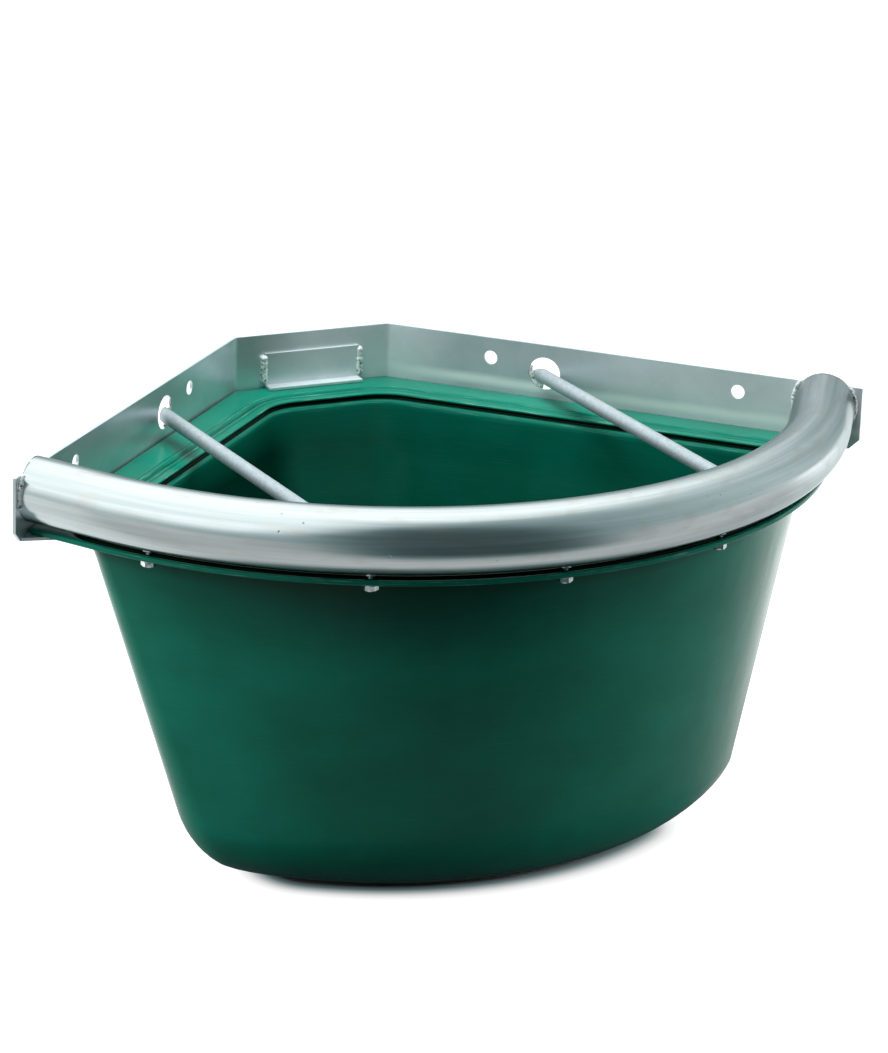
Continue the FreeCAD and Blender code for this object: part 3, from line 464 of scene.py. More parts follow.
def plan(side, cut, radius, centre, corner, rear):
    """Points of the bowl's plan at one height, each with its outward direction.

    Two sides stand off the walls by side, the rear stands off the frame's cut by cut, and the
    front is an arc. It starts at the right side's front end and runs to the left.
    """
    slant = CORNER_CUT + cut * math.sqrt(2)
    bend = slant - side + rear * math.tan(math.pi / 8)
    inner = radius - corner
    fore = centre + math.sqrt(inner ** 2 - (centre - side - corner) ** 2)
    tilt = math.degrees(math.atan2(centre - side - corner, fore - centre))
    rounds = (
        ((bend, -side - rear), rear, 90, 135, TURN_STEPS, LINE_STEPS),
        ((side + rear, -bend), rear, 135, 180, TURN_STEPS, CUT_STEPS),
        ((side + corner, -fore), corner, 180, 270 - tilt, TURN_STEPS, LINE_STEPS),
        ((centre, -centre), radius, 270 - tilt, 360 + tilt, FRONT_STEPS, 0),
        ((fore, -side - corner), corner, tilt, 90, TURN_STEPS, 0),
    )
    points = []
    last = Vector((fore, -side))
    for middle, size, start, end, steps, run in rounds:
        first = math.radians(start)
        facing = Vector((math.cos(first), math.sin(first)))
        begin = Vector(middle) + facing * size
        points += [(last.lerp(begin, step / run), facing) for step in range(run)]
        for step in range(steps):
            angle = math.radians(start + (end - start) * step / steps)
            facing = Vector((math.cos(angle), math.sin(angle)))
            points.append((Vector(middle) + facing * size, facing))
        closing = math.radians(end)
        last = Vector(middle) + Vector((math.cos(closing), math.sin(closing))) * size
    return points


def rim_edge():
    """Closed line of the rim's edge in plan, and its sharp corners."""
    slant = CORNER_CUT + RIM_GAP * math.sqrt(2)
    radius = ARC_RADIUS + RIM_OVERHANG
    turn = (ARC_CENTRE + radius * math.cos(TUBE_LEAN), -ARC_CENTRE + radius * math.sin(TUBE_LEAN))
    end = turn[0] + (turn[1] + RIM_GAP) * math.tan(TUBE_LEAN)
    corners = [(end, -RIM_GAP), (slant - RIM_GAP, -RIM_GAP), (RIM_GAP, RIM_GAP - slant),
               (RIM_GAP, -end)]
    sweep = math.pi / 2 + 2 * TUBE_LEAN
    steps = 240
    bow = [1.5 * math.pi - TUBE_LEAN + sweep * step / steps for step in range(steps + 1)]
    front = [(ARC_CENTRE + radius * math.cos(a), -ARC_CENTRE + radius * math.sin(a)) for a in bow]
    return [Vector(point) for point in corners + front], [Vector(point) for point in corners]


def reach_out(point, facing, line):
    """Distance from a point along its direction to a closed line."""
    best = math.inf
    for start, end in zip(line, line[1:] + line[:1]):
        run = end - start
        cross = facing.x * run.y - facing.y * run.x
        if abs(cross) < 1e-12:
            continue
        gap = start - point
        along = (gap.x * run.y - gap.y * run.x) / cross
        share = (gap.x * facing.y - gap.y * facing.x) / cross
        if along > 0 and -1e-6 <= share <= 1 + 1e-6:
            best = min(best, along)
    return best


RIM_OVERHANG = 11.5 * MM
WALL = 4 * MM
MOUTH = dict(side=45.9 * MM, cut=45 * MM, radius=ARC_RADIUS - 11.5 * MM, centre=ARC_CENTRE,
             corner=30 * MM, rear=60 * MM)
BASE = dict(side=109.8 * MM, cut=130 * MM, radius=ARC_RADIUS - 53.1 * MM,
            centre=ARC_CENTRE + 4.3 * MM, corner=61.6 * MM, rear=60 * MM)
BASE_ROUND = 96.4 * MM
LEAST_CORNER = 20 * MM
FOOT_STOPS = 48
INNER_WALL_TOP = RIM_TOP - 24 * MM
OUTER_WALL_TOP = RIM_UNDER - 8 * MM
# Painted shade inside the bowl, what its left wall has on top, and painted shade right under
# the rim with the height over which that fades
INNER_PAINTED_SHADE = 0.5
LEFT_PAINTED_SHADE = 0.35
UNDER_RIM_PAINTED_SHADE = 0.85
SHADED_DROP = 95 * MM
# Painted shade on the rim in the tube's gap, from inward to outward of the arc, fading at both
# ends
GAP_INWARD = 31 * MM
GAP_OUTWARD = 6.5 * MM
FADE_INWARD = 3 * MM
FADE_OUTWARD = 2 * MM
# Direction round the bowl in which the painted shade under the rim is strongest
MIDDLE_WAY = Vector((math.sin(math.radians(22)), -math.cos(math.radians(22))))
RIM_PROFILE = (
    # offset outward from the bowl's outside, height over the rim's top, wear, painted shade
    (-10.6, -14.5, 0.1, 0.4), (-10.3, -10.5, 0.3, 0.2), (-9.6, -8.0, 0.5, 0.1),
    (-8.2, -6.6, 0.5, 0.4), (-6.2, -6.2, 0.2, 0.9), (-4.4, -5.8, 0.0, 1.0),
    (-4.2, -4.6, 0.0, 1.0), (-4.6, -3.0, 0.0, 1.0), (-6.0, -2.3, 0.3, 0.5),
    (-6.1, -1.2, 0.8, 0.0), (-5.8, -0.5, 0.9, 0.0), (-5.2, -0.1, 1.0, 0.0),
    (-4.2, 0.0, 0.3, 0.0), (0.6, 0.0, 0.05, 0.0), (1.9, -0.5, 0.0, 0.5), (2.6, -0.4, 0.2, 0.3),
    (3.4, 0.5, 0.5, 0.0), (4.4, 0.8, 0.7, 0.0), (5.6, 0.5, 0.5, 0.0), (6.6, -0.5, 0.1, 0.5),
    (7.6, -1.0, 0.0, 0.7), (8.8, -0.9, 0.0, 0.6), (9.6, 0.1, 0.4, 0.1), (10.6, 1.3, 0.8, 0.0),
    (11.6, 1.8, 1.0, 0.0), (12.8, 1.7, 1.0, 0.0), (13.9, 1.1, 0.7, 0.0),
    (14.8, -0.3, 0.1, 0.5), (15.7, -1.0, 0.0, 0.6), (16.7, -0.9, 0.0, 0.4),
    (17.7, -0.1, 0.4, 0.0), (18.7, 0.0, 0.05, 0.0),
)
EDGE_PROFILE = (
    # inset from the rim's edge, height over the rim's top, wear, painted shade
    (1.6, 0.0, 0.1, 0.0), (0.5, -0.25, 1.0, 0.0), (0.0, -1.0, 1.0, 0.0),
    (0.0, -3.7, 0.8, 0.1), (0.5, -4.45, 0.6, 0.3), (1.4, -4.7, 0.2, 0.6),
)
UNDER_PROFILE = (
    # offset outward from the bowl's outside, height over the rim's underside
    (4.0, 0.0), (1.6, -0.5), (0.4, -1.8), (-0.4, -4.0),
)


def base_plans():
    """Plans of the base's rounding, from where it starts to the flat floor."""
    plans = []
    for step in range(FOOT_STOPS + 1):
        inset = BASE_ROUND * step / FOOT_STOPS
        shape = dict(BASE)
        shape["side"] += inset
        shape["cut"] += inset
        shape["radius"] -= inset
        shape["corner"] = max(shape["corner"] - inset, LEAST_CORNER)
        shape["rear"] = max(shape["rear"] - inset, LEAST_CORNER)
        plans.append([point for point, facing in plan(**shape)])
    return plans


def foot_rings(mouth, thickness, plans, steps=14):
    """Rings from the flat base up to the straight wall, on the outside or inside.

    Each column's rounding starts where the wall's own slope meets it, so that none has a kink.
    """
    room = BASE_ROUND - thickness
    columns = []
    for column, rim in enumerate(mouth):
        line = [stop[column] for stop in plans]
        at_joint = line[round(thickness / BASE_ROUND * FOOT_STOPS)]
        lean = (Vector(rim[:2]) - at_joint).length
        first = 0.0
        for _ in range(12):
            first = math.atan2(lean + room * (1 - math.cos(first)),
                               RIM_UNDER - BASE_ROUND + room * math.sin(first))
        points = []
        for step in range(steps + 1):
            angle = math.pi / 2 - (math.pi / 2 - first) * step / steps
            inset = thickness + room * (1 - math.cos(angle))
            spot = min(inset / BASE_ROUND * FOOT_STOPS, FOOT_STOPS - 1e-6)
            place = line[int(spot)].lerp(line[int(spot) + 1], spot % 1)
            points.append((place.x, place.y, thickness + room * (1 - math.sin(angle))))
        columns.append(points)
    return [list(ring) for ring in zip(*columns)]


def wall_rings(low_ring, high_ring, top, steps=9):
    """Rings between two rings of the straight wall, below a height and without the ends."""
    rings = []
    for step in range(1, steps + 1):
        share = step / (steps + 1)
        ring = [tuple(a + (b - a) * share for a, b in zip(low, high))
                for low, high in zip(low_ring, high_ring)]
        if max(point[2] for point in ring) < top:
            rings.append(ring)
    return rings


def floor_rings(ring, shares=(0.35, 0.7)):
    """Rings that close a flat floor towards its middle."""
    count = len(ring)
    middle = [sum(point[axis] for point in ring) / count for axis in range(3)]
    return middle, [[tuple(m + (p - m) * share for m, p in zip(middle, point)) for point in ring]
                    for share in shares]


def loft_mesh(name, rings, marks, start, end):
    """Closed mesh through rings of equal count, with a pole at each end.

    Its UV map holds metres round the bowl and along the profile. "wear" marks edges and
    "grime" marks painted shade where light hardly reaches.
    """
    count = len(rings[0])
    points = [start] + [point for ring in rings for point in ring] + [end]
    widest = max(rings, key=lambda ring: ring[0][0])
    around = [0.0]
    for one, two in zip(widest, widest[1:] + widest[:1]):
        around.append(around[-1] + math.dist(one, two))
    along = [0.0]
    for one, two in zip(rings, rings[1:]):
        along.append(along[-1] + math.dist(one[count // 3], two[count // 3]))
    faces = []
    places = []
    for column in range(count):
        beside = (column + 1) % count
        faces.append((0, 1 + beside, 1 + column))
        places.append(((around[column], 0), (around[column + 1], 0), (around[column], 0)))
        last = 1 + (len(rings) - 1) * count
        faces.append((len(points) - 1, last + column, last + beside))
        high = along[-1]
        places.append(((around[column], high), (around[column], high), (around[column + 1], high)))
    for row in range(len(rings) - 1):
        low = 1 + row * count
        for column in range(count):
            beside = (column + 1) % count
            faces.append((low + column, low + beside, low + count + beside, low + count + column))
            places.append(((around[column], along[row]), (around[column + 1], along[row]),
                           (around[column + 1], along[row + 1]), (around[column], along[row + 1])))
    mesh = mesh_of(name, points, faces)
    layer = mesh.uv_layers.new(name="UVMap")
    flat = [pair for face in places for pair in face]
    for corner, pair in zip(layer.data, flat):
        corner.uv = pair
    for number, label in enumerate(("wear", "grime")):
        values = []
        for mark in marks:
            value = mark[number]
            values += value if isinstance(value, list) else [value] * count
        layer = mesh.attributes.new(label, "FLOAT", "POINT")
        layer.data.foreach_set("value", [values[0], *values, values[-1]])
    return mesh


def tube_shade(point):
    """How deep in the tube's gap a point of the rim is, from 0 to 1, as the painted shade there.
    """
    out = math.hypot(point[0] - ARC_CENTRE, point[1] + ARC_CENTRE) - ARC_RADIUS
    share = min((out + GAP_INWARD) / FADE_INWARD, (GAP_OUTWARD - out) / FADE_OUTWARD)
    return min(max(share, 0), 1)


def bowl_mesh():
    """The bowl from the middle of its floor, up inside, over the rim and down outside."""
    mouth = plan(**MOUTH)
    line, corners = rim_edge()
    reaches = [reach_out(point, facing, line) for point, facing in mouth]
    edge = [point + facing * reach for (point, facing), reach in zip(mouth, reaches)]
    for corner in corners:
        nearest = min(range(len(edge)), key=lambda n: (edge[n] - corner).length)
        edge[nearest] = corner
    # Painted shade under the rim outside, strongest towards MIDDLE_WAY
    shaded = [max(facing.dot(MIDDLE_WAY), 0) ** 3 for point, facing in mouth]
    inner_mouth = [(*(point - facing * WALL), RIM_UNDER) for point, facing in mouth]
    outer_mouth = [(*point, RIM_UNDER) for point, facing in mouth]
    plans = base_plans()
    inner_base = foot_rings(inner_mouth, WALL, plans)
    outer_base = foot_rings(outer_mouth, 0, plans)
    middle, floor = floor_rings(inner_base[0])
    bottom, ground = floor_rings(outer_base[0])
    rings = floor + inner_base
    rings += wall_rings(inner_base[-1], inner_mouth, INNER_WALL_TOP, 13)
    # Painted shade inside the bowl, more on its left wall
    left = [max(-facing.x, 0) ** 4 for point, facing in mouth]
    marks = [(0.1, [INNER_PAINTED_SHADE + LEFT_PAINTED_SHADE * share for share in left])] * len(rings)
    # The rim gets painted shade from its profile and from the tube's gap
    for offset, height, wear, grime in RIM_PROFILE:
        rings.append([(*(point + facing * offset * MM), RIM_TOP + height * MM)
                      for point, facing in mouth])
        marks.append((wear, [max(grime, tube_shade(point)) for point in rings[-1]]))
    for inset, height, wear, grime in EDGE_PROFILE:
        ring = []
        for (point, facing), outer in zip(mouth, edge):
            back = (point - outer).normalized()
            ring.append((*(outer + back * inset * MM), RIM_TOP + height * MM))
        rings.append(ring)
        marks.append((wear, [max(grime, tube_shade(point)) for point in ring]))
    # The rim's underside gets painted shade
    for offset, height in UNDER_PROFILE:
        rings.append([(*(point + facing * offset * MM), RIM_UNDER + height * MM)
                      for point, facing in mouth])
        marks.append((0.0, 0.8))
    outside = wall_rings(outer_base[-1], outer_mouth, OUTER_WALL_TOP, 12)
    outside = outside[::-1] + outer_base[::-1] + ground[::-1]
    rings += outside
    # Painted shade under the rim, fading down the outer wall
    for ring in outside:
        drop = (RIM_UNDER - ring[0][2]) / SHADED_DROP
        marks.append((0.05, [UNDER_RIM_PAINTED_SHADE * share * max(1 - drop, 0) for share in shaded]))
    mesh = loft_mesh("feed_bowl", rings, marks, middle, bottom)
    model = bmesh.new()
    model.from_mesh(mesh)
    bmesh.ops.recalc_face_normals(model, faces=model.faces)
    model.to_mesh(mesh)
    model.free()
    return smooth_by_area(mesh, "feed_bowl")


# Rods that follow a line

def rod_tree():
    """Tree that sweeps a round section along a line and gives it slight dents.

    The "grain" place is the rod laid out straight: metres along it, and across its section.
    """
    tree, given = new_tree("rod along a line", {
        "Radius": "Float", "Sides": "Int", "Dents": "Float", "Material": "Material"})
    curve = add(tree, "GeometryNodeMeshToCurve", {0: given["Shape"]}).outputs[0]
    run = add(tree, "GeometryNodeSplineParameter").outputs["Length"]
    measured = add(tree, "GeometryNodeStoreNamedAttribute",
                   {"Geometry": curve, "Name": "run", "Value": run}, data_type="FLOAT")
    ring = add(tree, "GeometryNodeCurvePrimitiveCircle",
               {"Resolution": given["Sides"], "Radius": given["Radius"]}).outputs[0]
    spot = add(tree, "GeometryNodeInputPosition").outputs[0]
    section = add(tree, "GeometryNodeStoreNamedAttribute",
                  {"Geometry": ring, "Name": "section", "Value": spot}, data_type="FLOAT_VECTOR")
    swept = add(tree, "GeometryNodeCurveToMesh",
                {"Curve": measured.outputs[0], "Profile Curve": section.outputs[0]})
    length = add(tree, "GeometryNodeInputNamedAttribute", {"Name": "run"}, data_type="FLOAT")
    across = add(tree, "GeometryNodeInputNamedAttribute", {"Name": "section"},
                 data_type="FLOAT_VECTOR")
    parts = add(tree, "ShaderNodeSeparateXYZ", {0: across.outputs[0]}).outputs
    straight = add(tree, "ShaderNodeCombineXYZ",
                   {"X": length.outputs[0], "Y": parts["X"], "Z": parts["Y"]}).outputs[0]
    laid = add(tree, "GeometryNodeStoreNamedAttribute",
               {"Geometry": swept.outputs[0], "Name": "grain", "Value": straight},
               data_type="FLOAT_VECTOR").outputs[0]
    dents = stretched(tree, straight, (11, 34, 34), 2.0)
    depth = add(tree, "ShaderNodeMath", {0: dents, 1: 0.62}, operation="SUBTRACT")
    scaled = add(tree, "ShaderNodeMath", {0: depth, 1: given["Dents"]}, operation="MULTIPLY")
    normal = add(tree, "GeometryNodeInputNormal").outputs[0]
    push = add(tree, "ShaderNodeVectorMath", {0: normal, "Scale": scaled}, operation="SCALE")
    dented = add(tree, "GeometryNodeSetPosition", {"Geometry": laid, "Offset": push.outputs[0]})
    smooth = add(tree, "GeometryNodeSetShadeSmooth", {"Geometry": dented.outputs[0]})
    close_tree(tree, smooth.outputs[0], given["Material"])
    return tree


def tube_point(share):
    """Point of the tube's centre line, from the left leg at 0 to the right leg at 1."""
    bow = ARC_RADIUS * (math.pi / 2 + 2 * TUBE_LEAN)
    run = share * (bow + 2 * TUBE_STRAIGHT) - TUBE_STRAIGHT
    turned = min(max(run, 0), bow) / ARC_RADIUS
    angle = 1.5 * math.pi - TUBE_LEAN + turned
    past = run - min(max(run, 0), bow)
    return Vector((ARC_CENTRE + ARC_RADIUS * math.cos(angle) - past * math.sin(angle),
                   -ARC_CENTRE + ARC_RADIUS * math.sin(angle) + past * math.cos(angle),
                   TUBE_HEIGHT))


def cut_flat(mesh, point, normal):
    """Cut off what lies on the side that normal points to, and close the cut."""
    model = bmesh.new()
    model.from_mesh(mesh)
    cut = bmesh.ops.bisect_plane(model, geom=model.verts[:] + model.edges[:] + model.faces[:],
                                 plane_co=point, plane_no=normal, clear_outer=True)
    edges = [item for item in cut["geom_cut"] if isinstance(item, bmesh.types.BMEdge)]
    bmesh.ops.holes_fill(model, edges=edges)
    model.to_mesh(mesh)
    model.free()
    return mesh


def tube_mesh(tree, material, dents):
    """Front tube, run past both legs' faces and cut off there."""
    beyond = 0.03
    steps = 260
    shares = [-beyond + (1 + 2 * beyond) * step / steps for step in range(steps + 1)]
    line = path_of("tube_line", [tube_point(share) for share in shares])
    mesh = run_tree(tree, line, "front_tube", {
        "Radius": TUBE_RADIUS, "Sides": 96, "Dents": dents, "Material": material})
    cut_flat(mesh, (END_ROOM, 0, 0), (-1, 0, 0))
    return cut_flat(mesh, (0, -END_ROOM, 0), (0, 1, 0))


def bar_axis(side):
    """A bar's start at its leg's face, and its direction."""
    start = (0, -BAR_PLACE) if side == "left" else (BAR_PLACE, 0)
    return (Vector((*start, BAR_HEIGHT)),
            Vector((math.cos(BAR_HEADING), -math.sin(BAR_HEADING), 0)))


def depth_in_tube(point):
    """Distance from a point to the tube's surface, positive inside. Holds along its arc."""
    plan_gap = math.hypot(point.x - ARC_CENTRE, point.y + ARC_CENTRE) - ARC_RADIUS
    return TUBE_RADIUS - math.hypot(plan_gap, point.z - TUBE_HEIGHT)


def run_to_tube(start, heading):
    """Where a line first meets the tube."""
    run = 0.0
    while depth_in_tube(start + heading * run) < 0:
        run += max(-depth_in_tube(start + heading * run), 0.02 * MM)
    return run


def bar_mesh(side, tree, material, dents):
    """One bar, from the far face of its leg's sheet to inside the tube."""
    start, heading = bar_axis(side)
    sunk = 9 * MM
    end = run_to_tube(start, heading) + sunk
    back = 12 * MM
    steps = 90
    points = [start + heading * (-back + (end + back) * step / steps) for step in range(steps + 1)]
    mesh = run_tree(tree, path_of("bar_line", points), f"{side}_bar", {
        "Radius": BAR_RADIUS, "Sides": 40, "Dents": dents, "Material": material})
    if side == "left":
        cut_flat(mesh, (-SHEET + END_ROOM, 0, 0), (-1, 0, 0))
    else:
        cut_flat(mesh, (0, SHEET - END_ROOM, 0), (0, 1, 0))
    tip = start + heading * (end - 0.5 * MM)
    return cut_flat(mesh, tip, heading)


# Welds

# How far the middle of a bead stands off the faces that it joins
BEAD_STANDOFF = 1.2 * MM


def bead_tree():
    """Tree that sets overlapping drops along a line, as a weld's ripples."""
    tree, given = new_tree("drops along a line", {
        "Spacing": "Float", "Size": "Float", "Seed": "Int", "Material": "Material"})
    curve = add(tree, "GeometryNodeMeshToCurve", {0: given["Shape"]}).outputs[0]
    spots = add(tree, "GeometryNodeCurveToPoints", {"Curve": curve, "Length": given["Spacing"]},
                mode="LENGTH")
    drop = add(tree, "GeometryNodeMeshIcoSphere", {"Radius": given["Size"], "Subdivisions": 3})
    lean = add(tree, "FunctionNodeRandomValue",
               {0: (0.8, 0.8, 0.8), 1: (1.15, 1.15, 1.15), "Seed": given["Seed"]},
               data_type="FLOAT_VECTOR")
    drops = add(tree, "GeometryNodeInstanceOnPoints",
                {"Points": spots.outputs[0], "Instance": drop.outputs[0],
                 "Rotation": spots.outputs["Rotation"], "Scale": lean.outputs[0]})
    close_tree(tree, drops.outputs[0], given["Material"])
    return tree


def bead_mesh(tree, name, points, size, seed, material):
    """One lumpy closed bead along a line."""
    drops = run_tree(tree, path_of(name + "_line", points), name, {
        "Spacing": size * 0.62, "Size": size, "Seed": seed, "Material": material})
    piece = new_object(name, drops)
    remesh = piece.modifiers.new("one skin", "REMESH")
    remesh.mode = "VOXEL"
    remesh.voxel_size = 0.55 * MM
    remesh.use_smooth_shade = True
    smooth = piece.modifiers.new("settled", "SMOOTH")
    smooth.factor = 0.6
    smooth.iterations = 3
    return evaluated_mesh(piece, name)


def end_weld_line(side, half):
    """Line of the bead on one half of the tube's upper side, against its leg."""
    turn = 1 if half == "front" else -1
    around = TUBE_RADIUS + BEAD_STANDOFF
    points = []
    for step in range(25):
        angle = math.radians(-19 + 57 * step / 24)
        along = TUBE_REACH + turn * around * math.cos(angle)
        height = TUBE_HEIGHT + around * math.sin(angle)
        points.append((BEAD_STANDOFF, -along, height) if side == "left"
                      else (along, -BEAD_STANDOFF, height))
    return points


def bar_weld_line(side):
    """Line of the bead round a bar, where it meets the tube."""
    start, heading = bar_axis(side)
    across = Vector((-heading.y, heading.x, 0))
    up = Vector((0, 0, 1))
    points = []
    for step in range(49):
        angle = 2 * math.pi * step / 48
        out = across * math.cos(angle) + up * math.sin(angle)
        foot = start + out * (BAR_RADIUS + BEAD_STANDOFF)
        points.append(foot + heading * (run_to_tube(foot, heading) - 1.0 * MM))
    return points


def bar_tack_line(side):
    """Line of the bead in the frame's hole, on the side of the bar towards the cut."""
    points = []
    for inset, first, last in ((1.6, 158, 262), (4.2, 262, 178)):
        for step in range(13):
            angle = math.radians(first + (last - first) * step / 12)
            along = BAR_PLACE + (BAR_HOLE_RADIUS - inset * MM) * math.cos(angle)
            height = BAR_HOLE_HEIGHT + (BAR_HOLE_RADIUS - inset * MM) * math.sin(angle)
            points.append((-SHEET / 2, -along, height) if side == "left"
                          else (along, SHEET / 2, height))
    return points


def clip_weld_line(side):
    """Line of the bead down an end of the clip."""
    sign = -1 if side == "left" else 1
    middle = Vector((CORNER_CUT / 2, -CORNER_CUT / 2))
    along = Vector((1, 1)).normalized()
    inward = Vector((1, -1)).normalized()
    foot = middle + along * sign * (CLIP_LENGTH / 2 + BEAD_STANDOFF) + inward * 1.6 * MM
    low, high = (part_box(f"{side}_clip_weld")[end].z for end in (0, 1))
    return [(foot.x, foot.y, high - (high - low) * step / 12) for step in range(13)]


# Bolts, washers and rivet nuts

HEAD_WIDTH = 13 * MM
AROUND = 72


def turned_mesh(name, profile):
    """Closed turned shape from (radius, height, flats) rows.

    Where flats is more than 0, the row is a hexagon with that half width, within its radius.
    """
    points = []
    for radius, height, flats in profile:
        for step in range(AROUND):
            angle = 2 * math.pi * step / AROUND
            size = radius
            if flats:
                off = (angle + math.pi / 6) % (math.pi / 3) - math.pi / 6
                size = min(radius, flats / math.cos(off))
            points.append((size * math.cos(angle), size * math.sin(angle), height))
    faces = [tuple(range(AROUND))[::-1],
             tuple(range(len(points) - AROUND, len(points)))]
    for row in range(len(profile) - 1):
        low = row * AROUND
        for step in range(AROUND):
            beside = (step + 1) % AROUND
            faces.append((low + step, low + beside, low + AROUND + beside, low + AROUND + step))
    mesh = mesh_of(name, points, faces)
    mesh.shade_smooth()
    mesh.set_sharp_from_angle(angle=math.radians(28))
    return mesh


def bolt_template():
    """Hexagon bolt whose head's underside is at z = 0, head down and shank up."""
    flats = HEAD_WIDTH / 2
    corner = flats / math.cos(math.pi / 6)
    deep = 5.3 * MM
    rows = [(flats * 0.55, -deep + 0.5 * MM, 0), (flats * 0.62, -deep, 0),
            (flats * 0.96, -deep, 0), (corner, -deep + 0.7 * MM, flats),
            (corner, -0.4 * MM, flats), (flats * 0.98, 0, flats), (4 * MM, 0, 0),
            (4 * MM, 6 * MM, 0)]
    pitch = 1.25 * MM
    for turn in range(14):
        height = 6 * MM + pitch * (turn + 0.5)
        rows += [(3.4 * MM, height, 0), (4 * MM, height + pitch / 2, 0)]
    rows.append((3.2 * MM, 24.6 * MM, 0))
    return turned_mesh("bolt_template", rows)


def washer_template():
    """Plain washer with its underside at z = 0."""
    outer, inner, thick, edge = 8 * MM, 4.1 * MM, 1.6 * MM, 0.25 * MM
    rows = [(inner, 0, 0), (outer - edge, 0, 0), (outer, edge, 0), (outer, thick - edge, 0),
            (outer - edge, thick, 0), (inner, thick, 0)]
    return turned_mesh("washer_template", rows)


def nut_template():
    """Rivet nut: a flange below z = 0, a barrel above it, and its crimped bulge."""
    rows = [(4.1 * MM, -1.2 * MM, 0), (6.7 * MM, -1.2 * MM, 0), (7 * MM, -0.9 * MM, 0),
            (7 * MM, -0.2 * MM, 0), (6.8 * MM, 0, 0), (5.5 * MM, 0, 0), (5.5 * MM, 9.2 * MM, 0),
            (5.4 * MM, 9.6 * MM, 0), (5.5 * MM, 10 * MM, 0), (5.5 * MM, 13.7 * MM, 0),
            (5.2 * MM, 14 * MM, 0), (4.1 * MM, 14 * MM, 0)]
    return turned_mesh("nut_template", rows)


def fastener_tree():
    """Tree that sets a fastener on each point, each turned by its own angle."""
    tree, given = new_tree("fasteners on points", {
        "Fastener": "Object", "Seed": "Int", "Material": "Material"})
    shape = add(tree, "GeometryNodeObjectInfo", {"Object": given["Fastener"]})
    turn = add(tree, "FunctionNodeRandomValue",
               {2: 0.0, 3: math.pi / 3, "Seed": given["Seed"]}, data_type="FLOAT")
    about = add(tree, "ShaderNodeCombineXYZ", {"Z": turn.outputs[1]})
    placed = add(tree, "GeometryNodeInstanceOnPoints",
                 {"Points": given["Shape"], "Instance": shape.outputs["Geometry"],
                  "Rotation": about.outputs[0]})
    close_tree(tree, placed.outputs[0], given["Material"])
    return tree


def fastener_places(kind, height):
    """Points on the axes of a kind of fastener, in the row's frame."""
    places = []
    for number in BOLTS:
        low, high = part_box(f"{kind}_{number}")
        places.append(((low.x + high.x) / 2, (low.y + high.y) / 2, height))
    return mesh_of(kind + "_places", places)


# Settings, operators and panel

def length(name, about, default, low=0.0, high=1.0):
    return bpy.props.FloatProperty(name=name, description=about, default=default, min=low,
                                   max=high, subtype="DISTANCE", unit="LENGTH", precision=5)


def colour_of(name, about, code):
    return bpy.props.FloatVectorProperty(name=name, description=about, default=srgb(code),
                                         min=0.0, max=1.0, size=3, subtype="COLOR")


def strength(name, about, default):
    return bpy.props.FloatProperty(name=name, description=about, default=default, min=0.0)


def watts(name, about, default):
    return bpy.props.FloatProperty(name=name, description=about, default=default, min=0.0,
                                   subtype="POWER", unit="POWER")


class MangerStageSettings(bpy.types.PropertyGroup):
    overhead: watts("Overhead lamp", "Power of the large soft lamp above", 52.0)
    left: watts("Left lamp", "Power of the soft lamp on the left", 24.0)
    right: watts("Right lamp", "Power of the soft lamp on the right", 19.0)
    fill: strength("Fill", "Share of the room's brightness that lights matt surfaces", 0.24)
    shade: colour_of("Dark side", "Room behind the camera, as gloss shows it", "#3C4A4B")
    floor: length("Floor", "Half the width of the floor", 6.0, 1.0, 20.0)


class MangerBowlSettings(bpy.types.PropertyGroup):
    green: colour_of("Green", "Colour of the moulded bowl", "#08806A")
    deep: colour_of("Deep green", "Darker drift in that colour", "#05715C")
    scuff: colour_of("Scuffs", "Colour of worn edges", "#7FC4B0")
    # Green that the bowl's painted shade mixes in
    painted_shade_green: colour_of("Painted shade", "Green where light hardly reaches", "#001405")


class MangerSteelSettings(bpy.types.PropertyGroup):
    sheet: colour_of("Sheet", "Zinc of the frame and the clip", "#DDEAED")
    sheet_dull: colour_of("Dull sheet", "Its duller patches", "#A5BBC0")
    # Colour of the pale line drawn along the right leg of the sheet
    pale_line_colour: colour_of("Pale line colour", "Pale line that ran down the sheet", "#FAFEFE")
    tube: colour_of("Tube", "Zinc of the front tube", "#E2EAEB")
    tube_dull: colour_of("Dull tube", "Bands along the tube", "#BCCACC")
    stain: colour_of("Stain", "Warm patches on the tube", "#CACBC0")
    pit: colour_of("Pits", "Pits in the tube's zinc", "#46494A")
    rod: colour_of("Bars", "Zinc of the two bars", "#B3C1C6")
    rod_dull: colour_of("Dull bars", "Mottling of the bars", "#99A8AE")
    weld: colour_of("Welds", "Zinc over the welds", "#F2F6F6")
    slag: colour_of("Slag", "Pits in the welds", "#454D4F")
    plate: colour_of("Fasteners", "Plating of bolts, washers and nuts", "#D5DDE0")
    plate_dull: colour_of("Dull plating", "Bloom on that plating", "#B4BEC2")
    edge: length("Edge", "Rounding of the sheet's cut edges", 0.35 * MM, 0.0, 1 * MM)
    tube_dents: length("Tube dents", "Depth of the tube's slight dents", 0.5 * MM, 0.0, 2 * MM)
    bar_dents: length("Bar dents", "Depth of the bars' slight dents", 0.1 * MM, 0.0, 2 * MM)
    bead: length("Bead", "Half the width of a weld's bead", 2.9 * MM, 1 * MM, 6 * MM)


